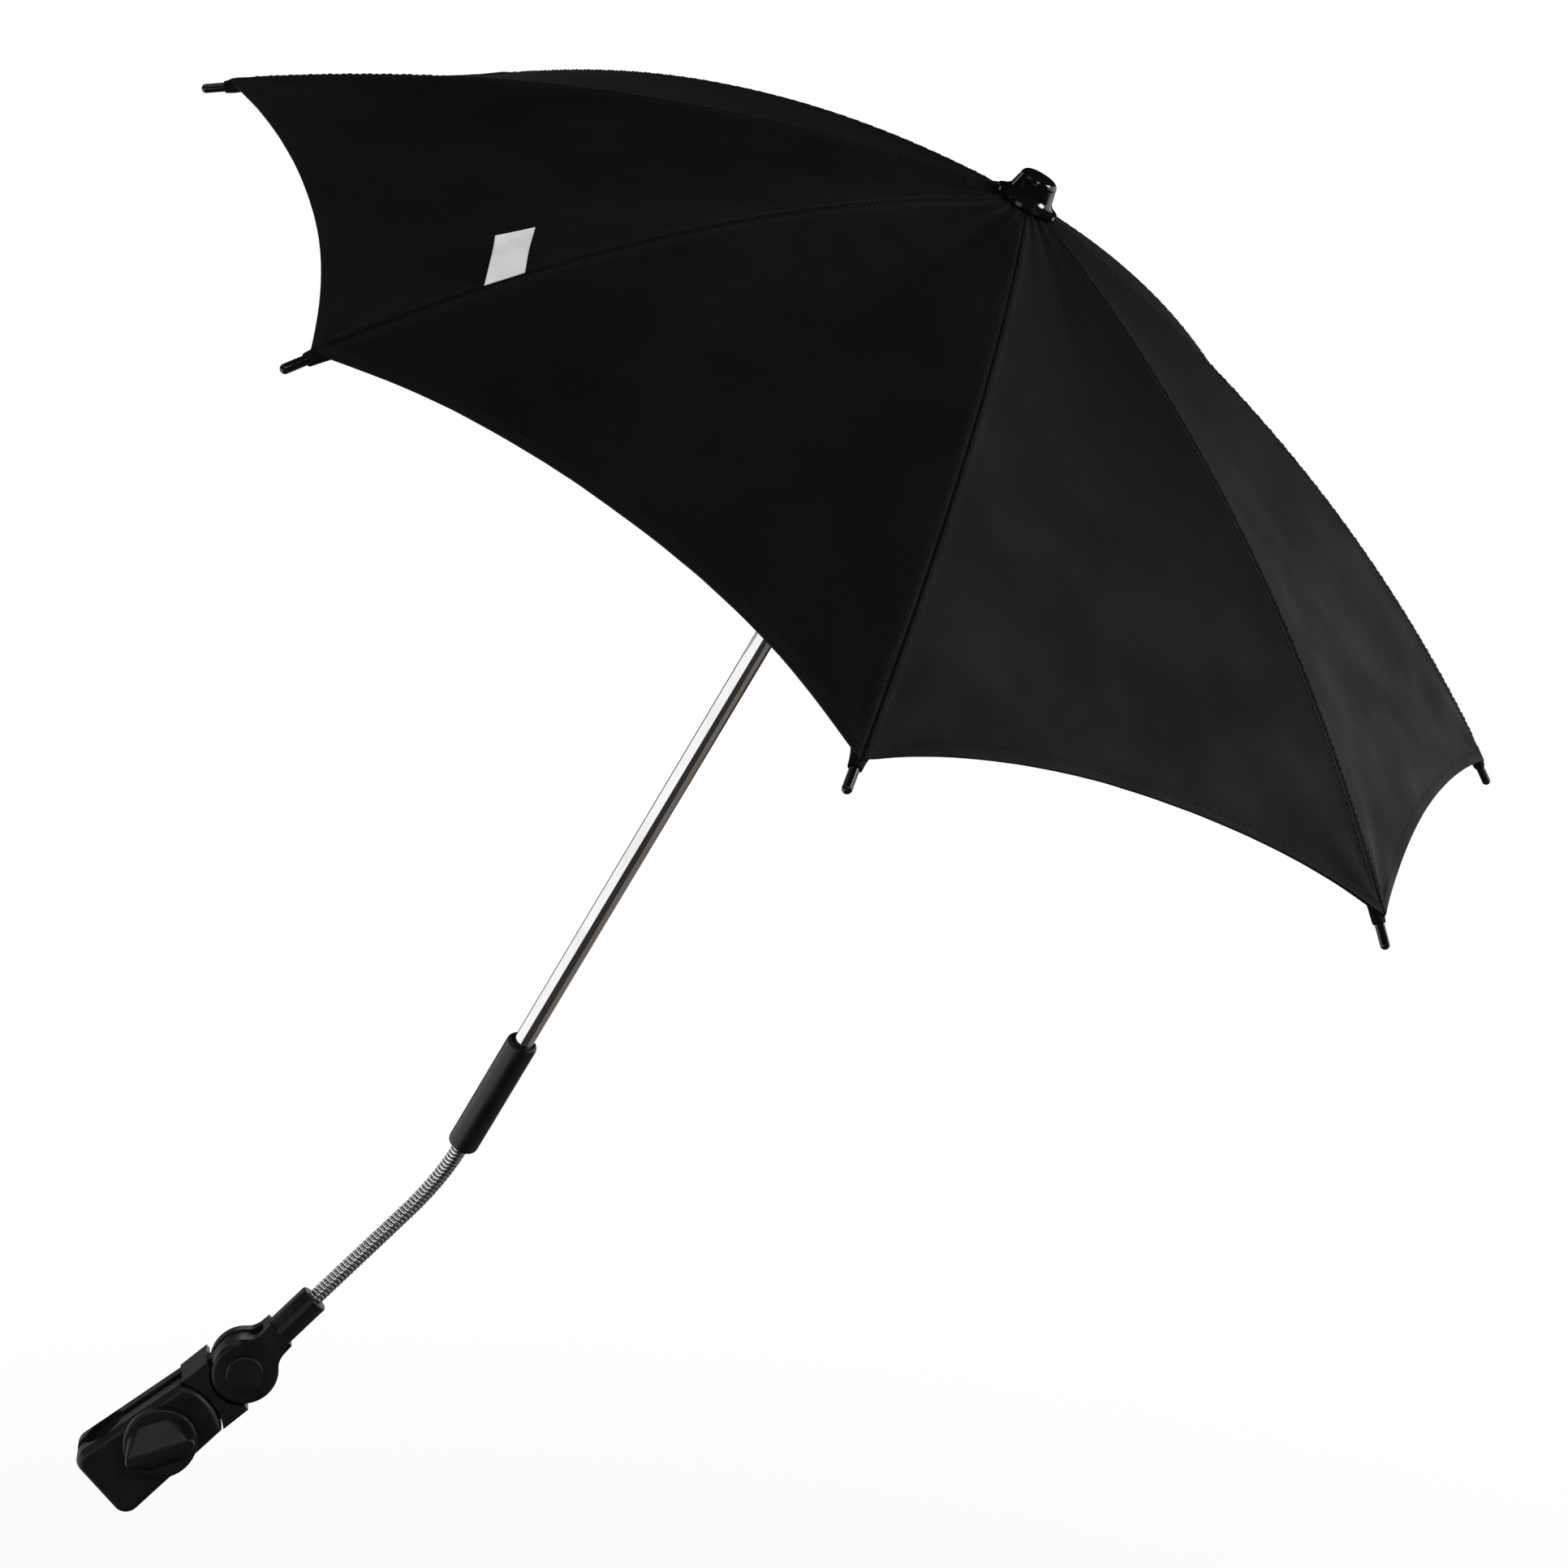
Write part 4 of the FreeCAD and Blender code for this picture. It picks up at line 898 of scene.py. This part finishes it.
POCKET_BACK = 0.0085
POCKET_OUT = 0.0022
POCKET_WIDTHS = (0.0052, 0.0046, 0.0038, 0.0034, 0.0031, 0.0030)
POCKET_HEIGHTS = (0.0020, 0.0026, 0.0029, 0.0030, 0.0029, 0.0028)
POCKET_SIDES = 28
POCKET_WALL = 0.0005
POCKET_FOLD = 0.07
POCKET_FOLDS = 5
POCKET_CRINKLE = 0.03
POCKET_CRINKLES = 9


def make_pocket(k):
    """Short cloth sleeve at a corner, wide and flat at the hem and round on the tip."""
    name = "corner_pocket_%d" % (k + 1)
    x, z = rib_line(1.0)
    heading = np.array((math.cos(slope_end), 0, -math.sin(slope_end)))
    up = np.array((math.sin(slope_end), 0, math.cos(slope_end)))
    start = np.array((x, 0, z)) - up * RIB_DEPTH
    points = []
    for i, (width, height) in enumerate(zip(POCKET_WIDTHS, POCKET_HEIGHTS)):
        share = i / (len(POCKET_WIDTHS) - 1)
        at = start + heading * (-POCKET_BACK + (POCKET_BACK + POCKET_OUT) * share)
        for j in range(POCKET_SIDES):
            turn = 2 * math.pi * j / POCKET_SIDES
            fold = 1 + POCKET_FOLD * (1 - share) * math.sin(POCKET_FOLDS * turn + k)
            fold += POCKET_CRINKLE * math.sin(POCKET_CRINKLES * turn + 2 * k)
            sideways = np.array((0, 1, 0)) * width * fold * math.cos(turn)
            points.append(at + sideways + up * height * fold * math.sin(turn))
    faces = grid_faces(len(POCKET_WIDTHS), POCKET_SIDES, closed=True)
    mesh = bpy.data.meshes.new(name)
    mesh.from_pydata([tuple(p) for p in points], [], faces)
    set_points(mesh, "seam", np.full(len(points), HEM_BAND))
    set_points(mesh, "hem", np.full(len(points), 2 * HEM_BAND))
    set_uv(mesh, "threads", np.array(points)[:, :2])
    mesh.transform(spoke(k))
    obj = new_object(name, mesh, CLOTH)
    solid = obj.modifiers.new("thickness", "SOLIDIFY")
    solid.thickness = POCKET_WALL
    solid.offset = 1
    rounder = obj.modifiers.new("rounder", "SUBSURF")
    rounder.levels = rounder.render_levels = 1
    bake(obj)
    obj.data.shade_smooth()
    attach(obj, "rib_%d" % (k + 1))


# Tag: a blank ribbon sewn into the second rib's seam

TAG_T = 0.0004
TAG_ROWS = 36
TAG_COLUMNS = 24
TAG_WAVE = 0.0013
TAG_WAVES = (0.12, 0.8)    # across and along
TAG_CURL = 0.0016
TAG_CURL_MIDDLE = 0.4
TAG_WAIST = 0.0007


def make_tag():
    """Ribbon that stands off its seam, skewed, waved and curled."""
    slope = fabric_start + (slope_end - fabric_start) * TAG_SHARE
    along = Vector((math.cos(slope), 0, -math.sin(slope)))
    share = np.array([TAG_SHARE])
    root = Vector([float(v[0]) for v in taut(share, -1, np.zeros(1))])
    over = (Vector([float(v[0]) for v in taut(share, -1, np.ones(1))]) - root).normalized()
    lift = along.cross(over).normalized()
    lift = lift if lift.z > 0 else -lift
    raised = Matrix.Rotation(math.radians(TAG_LIFT), 3, over.cross(lift))
    skewed = Matrix.Rotation(math.radians(TAG_SKEW), 3, (raised @ over).cross(-along))
    side = skewed @ (raised @ over)
    normal = raised @ lift
    base = root + lift * SKIN_GAP - along * (TAG_WIDTH / 2) + over * SKIN_GAP
    points, edge, uv = [], [], []
    for i in range(TAG_ROWS + 1):
        v = i / TAG_ROWS
        for j in range(TAG_COLUMNS + 1):
            u = j / TAG_COLUMNS
            phase = 2 * math.pi * (TAG_WAVES[1] * v + TAG_WAVES[0] * u)
            wave = TAG_WAVE * math.sin(phase) * v + TAG_CURL * v * v * (u - TAG_CURL_MIDDLE)
            inward = TAG_WAIST * math.sin(math.pi * v) * (0.5 - u)
            flat = base + along * (TAG_WIDTH * u + inward) + side * (TAG_LENGTH * v)
            points.append(flat + normal * wave)
            edge.append(min(u, 1 - u) * TAG_WIDTH)
            uv.append((TAG_WIDTH * u, TAG_LENGTH * v))
    mesh = bpy.data.meshes.new("tag_ribbon")
    mesh.from_pydata([tuple(p) for p in points], [], grid_faces(TAG_ROWS + 1, TAG_COLUMNS + 1))
    set_points(mesh, "edge", edge)
    set_uv(mesh, "threads", uv)
    mesh.transform(spoke(TAG_RIB))
    obj = new_object("tag_ribbon", mesh, SATIN)
    solid = obj.modifiers.new("thickness", "SOLIDIFY")
    solid.thickness = TAG_T
    solid.offset = 0
    bake(obj)
    crisp(obj)
    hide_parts("tag")
    dress(obj, TAG_RIB)


# Neck and spring: wound metal, swept along their middle lines

NECK_TUCK = 0.009          # length inside the socket and the sleeve
WINDING_STEPS = 12         # rings to a turn
WINDING_SIDES = 40
WINDING_SHARP = 75.0
ROD_STEPS = 60
ROD_SIDES = 16
SPRING_STEPS = 32          # rings to a turn
SPRING_SIDES = 10


def sweep(name, centres, firsts, seconds, radii):
    """Closed tube through rings of points; radii has a row for each ring."""
    rings, sides = radii.shape
    turn = 2 * math.pi * np.arange(sides) / sides
    spin = np.cos(turn)[None, :, None] * firsts[:, None] + np.sin(turn)[None, :, None] * seconds[:, None]
    points = centres[:, None] + spin * radii[:, :, None]
    faces = [tuple(reversed(f)) for f in grid_faces(rings, sides, closed=True)]
    faces += [tuple(range(sides)), tuple(reversed(range((rings - 1) * sides, rings * sides)))]
    mesh = bpy.data.meshes.new(name)
    mesh.from_pydata([tuple(p) for p in points.reshape(-1, 3)], [], faces)
    return mesh


arm_along = Vector((math.cos(math.radians(ARM_PITCH)), 0, math.sin(math.radians(ARM_PITCH))))
neck_start = Vector(joints["swivel"]["pos_m"]) + arm_along * ARM_LENGTH
neck_turn = neck_start + arm_along * NECK_STRAIGHT
neck_axis = arm_along.cross(pole_z).normalized()
neck_bend = arm_along.angle(pole_z)
neck_radius = NECK_ARC / neck_bend
neck_centre = neck_turn + neck_axis.cross(arm_along) * neck_radius
neck_length = NECK_STRAIGHT + NECK_ARC


def neck_at(s):
    """Point and direction on the neck's middle line at a length from the socket's rim."""
    if s < NECK_STRAIGHT:
        return neck_start + arm_along * s, arm_along
    turned = Matrix.Rotation(min(s - NECK_STRAIGHT, NECK_ARC) / neck_radius, 3, neck_axis)
    heading = turned @ arm_along
    at = neck_centre + turned @ (neck_turn - neck_centre)
    return at + heading * max(0.0, s - neck_length), heading


def neck_lengths(steps):
    """Even steps along the neck, with the lengths tucked in at its ends."""
    return np.linspace(-NECK_TUCK, neck_length + NECK_TUCK, steps)


def neck_tube(name, lengths, radii):
    """Tube along the neck's middle line, with a row of radii for each length."""
    stations = [neck_at(s) for s in lengths]
    centres = np.array([p for p, _ in stations])
    firsts = np.array([neck_axis for _ in stations])
    seconds = np.array([h.cross(neck_axis) for _, h in stations])
    return sweep(name, centres, firsts, seconds, radii)


def make_neck():
    """Round wire wound into a hose, with the soft rod inside it."""
    lengths = neck_lengths(int((neck_length + 2 * NECK_TUCK) * NECK_RIBS / neck_length * WINDING_STEPS))
    turn = np.arange(WINDING_SIDES) / WINDING_SIDES
    phase = np.mod(lengths[:, None] * NECK_RIBS / neck_length - turn[None, :], 1.0)
    crest = np.sqrt(np.clip(1 - (2 * phase - 1) ** 2, 0, 1))
    mesh = neck_tube("neck_winding", lengths, NECK_GROOVE_R + (NECK_R - NECK_GROOVE_R) * crest)
    set_points(mesh, "groove", np.abs(2 * phase - 1))
    hose = new_object("neck_winding", mesh, NECK)
    crisp(hose, WINDING_SHARP)
    radii = np.full((ROD_STEPS, ROD_SIDES), NECK_ROD_R)
    rod = new_object("neck_rod", neck_tube("neck_rod", neck_lengths(ROD_STEPS), radii), STEEL)
    crisp(rod)
    end = neck_at(neck_length)[0]
    for obj, node, slot in ((hose, "neck_hose", "neck_chrome"), (rod, "neck_core", "bright_steel")):
        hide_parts(node)
        tuple(end)
        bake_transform(obj)


def make_spring():
    """Small wire spring between the jaws, round the screw."""
    pitch = math.radians(CLAMP_PITCH)
    clamp_along = np.array((math.cos(pitch), 0, math.sin(pitch)))
    clamp_up = np.array((-clamp_along[2], 0, clamp_along[0]))
    across = np.array((0, 1.0, 0))
    middle = clamp_along * SCREW_OFFSET
    turn = np.linspace(0, 2 * math.pi * SPRING_TURNS, SPRING_TURNS * SPRING_STEPS + 1)
    outward = np.cos(turn)[:, None] * clamp_along + np.sin(turn)[:, None] * clamp_up
    rise = SPRING_ROOM * (turn / turn[-1] - 0.5)
    centres = middle + outward * SPRING_R + rise[:, None] * across
    heading = np.gradient(centres, axis=0)
    heading /= np.linalg.norm(heading, axis=1)[:, None]
    seconds = np.cross(heading, outward)
    radii = np.full((len(turn), SPRING_SIDES), SPRING_WIRE_R)
    mesh = sweep("jaw_spring", centres, outward, seconds, radii)
    obj = new_object("jaw_spring", mesh, STEEL)
    crisp(obj)
    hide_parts("clamp_spring")
    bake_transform(obj)


for rib in range(RIB_COUNT):
    for half in (-1, 1):
        make_gore(rib, half)
        make_stitches(rib, half)
    make_pocket(rib)
make_tag()
make_neck()
make_spring()


# Stage, light and camera

FLOOR_DROP = 0.85          # the clamp's height above the floor
FLOOR_HALF = 12.0
FLOOR_GREY = (0.92, 0.92, 0.92, 1)
FLOOR_NEAR = 1.4
FLOOR_FAR = 2.8
FLOOR_WHITE = 0.92         # share of plain white near the object
WORLD_LIGHT = 0.30
CARD_R = 2.6
CARD_STEPS = 24
CARD_LOW = -2.0
CARD_MIDDLE = 0.3
CARD_UPPER = 0.95
CARD_HIGH = 2.6
CARD_TOP = 5.0
GROUND_HEIGHT = -0.8
CEILING_HEIGHT = 2.2
BLACK = (0.004, 0.004, 0.005)
EDGE_GREY = (0.02, 0.02, 0.02)
GROUND_GREY = (0.030, 0.029, 0.029)
GROUND_BROWN = (0.150, 0.125, 0.105)
GROUND_CARD = ((-2.5, -5.0), (0.55, -5.0), (0.55, 1.6), (-0.2, 1.6))
BROWN_CARD = ((0.55, -5.0), (1.45, -5.0), (1.45, 1.6), (0.55, 1.6))
RIGHT_CARD = ((1.45, -5.0), (5.0, -5.0), (5.0, 2.2), (1.45, 1.6))
CEILING_CARD = ((-0.75, -4.0), (4.0, -4.0), (4.0, 4.0), (-0.5, 4.0))
CAMERA_NEAR = 0.01

# Lamps aimed at the canopy's top: place, width and height, watts, seen by mirrors
LAMPS = {
    "key": ((1.97, -0.79, 1.40), (0.62, 0.46), 13.0, True),
    "front": ((0.53, -2.25, 1.70), (0.52, 0.40), 8.0, True),
    "fill": ((-1.4, -1.7, 1.2), (0.8, 0.8), 6.0, False),
}


def looked_at(tree):
    """One for rays from the camera, off a mirror or through something clear."""
    path = add(tree, "LightPath")
    seen = maths(tree, "MAXIMUM", path.outputs["Is Camera Ray"], path.outputs["Is Glossy Ray"])
    return maths(tree, "MAXIMUM", seen, path.outputs["Is Transmission Ray"])


def white_to_camera(tree, surface, share):
    """Shows a share of a surface as plain white to the camera and to mirrors; the rest keeps its
    shadow. From below the surface isn't seen."""
    white = add(tree, "Emission", {"Strength": 1.0})
    mix = add(tree, "MixShader", {0: maths(tree, "MULTIPLY", looked_at(tree), share)})
    tree.links.new(surface, mix.inputs[1])
    tree.links.new(white.outputs[0], mix.inputs[2])
    from_below = add(tree, "MixShader", {0: add(tree, "NewGeometry").outputs["Backfacing"]})
    tree.links.new(mix.outputs[0], from_below.inputs[1])
    tree.links.new(add(tree, "BsdfTransparent").outputs[0], from_below.inputs[2])
    tree.links.new(from_below.outputs[0], tree.nodes["Material Output"].inputs["Surface"])


def make_floor():
    """Plain white floor that keeps some of the object's shadow, and less of it further out."""
    corners = [(-FLOOR_HALF, -FLOOR_HALF), (FLOOR_HALF, -FLOOR_HALF),
               (FLOOR_HALF, FLOOR_HALF), (-FLOOR_HALF, FLOOR_HALF)]
    mesh = bpy.data.meshes.new("floor")
    mesh.from_pydata([(x, y, -FLOOR_DROP) for x, y in corners], [], [(0, 1, 2, 3)])
    material, tree, shader = finish_of("floor_white", base_color=FLOOR_GREY, roughness=0.9)
    place = place_of(tree)
    away = add(tree, "VectorMath", {0: place}, operation="LENGTH").outputs["Value"]
    white_to_camera(tree, shader.outputs[0], ramp(tree, away, FLOOR_NEAR, FLOOR_FAR, FLOOR_WHITE, 1.0))
    new_object("floor", mesh, material)


def make_card(name, first, last, grey, low=CARD_LOW, high=CARD_HIGH):
    """Upright curved card that only mirrors see, between two headings in degrees, from the front
    towards the right."""
    headings = np.radians(np.linspace(first, last, CARD_STEPS))
    ring = [(CARD_R * math.sin(h), -CARD_R * math.cos(h)) for h in headings]
    points = [(x, y, z) for z in (low, high) for x, y in ring]
    stage_card(name, points, grid_faces(2, len(headings)), grey)


def flat_card(name, corners, height, grey):
    """Level card that only mirrors see."""
    stage_card(name, [(x, y, height) for x, y in corners], [tuple(range(len(corners)))], grey)


def stage_card(name, points, faces, grey):
    """Glowing card that lights nothing and that only mirrors see."""
    material = finish_of(name, base_color=(0, 0, 0, 1), specular_ior_level=0.0,
                         emission_color=(*grey, 1), emission_strength=1.0)[0]
    mesh = bpy.data.meshes.new(name)
    mesh.from_pydata(points, [], faces)
    card = new_object(name, mesh, material)
    card.visible_camera = card.visible_diffuse = card.visible_shadow = False
    card.visible_transmission = card.visible_volume_scatter = False


def make_world():
    """White to the camera and to mirrors, dimmer as light."""
    world = bpy.data.worlds.new("studio")
    bpy.context.scene.world = world
    world.use_nodes = True
    tree = world.node_tree
    background = tree.nodes["Background"]
    background.inputs["Color"].default_value = (1, 1, 1, 1)
    strength = ramp(tree, looked_at(tree), 0.0, 1.0, WORLD_LIGHT, 1.0)
    tree.links.new(strength, background.inputs["Strength"])


def make_lamp(name, at, size, power, mirrored):
    """Area lamp aimed at the canopy's top."""
    data = bpy.data.lights.new(name, "AREA")
    data.shape = "RECTANGLE"
    data.size, data.size_y = size
    data.energy = power
    lamp = bpy.data.objects.new(name, data)
    lamp.location = at
    lamp.visible_glossy = mirrored
    lamp.rotation_euler = (canopy_top - Vector(at)).to_track_quat("-Z", "Y").to_euler()
    bpy.context.collection.objects.link(lamp)


def make_camera():
    """Camera in the place from which the photograph was taken."""
    data = bpy.data.cameras.new("camera")
    data.sensor_width = SENSOR_WIDTH
    data.lens = FOCAL_HALF_FRAMES * SENSOR_WIDTH / 2
    data.clip_start = CAMERA_NEAR
    camera = bpy.data.objects.new("camera", data)
    forward = Vector(CAMERA_FORWARD).normalized()
    right = forward.cross(Vector(CAMERA_UP)).normalized()
    turn = Matrix((right, right.cross(forward), -forward)).transposed()
    camera.matrix_world = Matrix.Translation(CAMERA_AT) @ turn.to_4x4()
    bpy.context.collection.objects.link(camera)
    bpy.context.scene.camera = camera


make_floor()
make_card("dark_card", -6, 55, BLACK)
make_card("high_card", -70, -6, BLACK, low=CARD_MIDDLE)
make_card("left_card", -140, -70, BLACK, low=CARD_UPPER, high=CARD_TOP)
make_card("back_card", 122, 172, BLACK, low=CARD_MIDDLE)
make_card("edge_card", -176, -152, EDGE_GREY)
flat_card("ground_card", GROUND_CARD, GROUND_HEIGHT, GROUND_GREY)
flat_card("brown_card", BROWN_CARD, GROUND_HEIGHT, GROUND_BROWN)
flat_card("right_card", RIGHT_CARD, GROUND_HEIGHT, EDGE_GREY)
flat_card("ceiling_card", CEILING_CARD, CEILING_HEIGHT, BLACK)
make_world()
for name, lamp in LAMPS.items():
    make_lamp(name, *lamp)
make_camera()
bpy.context.scene.view_settings.view_transform = "Standard"
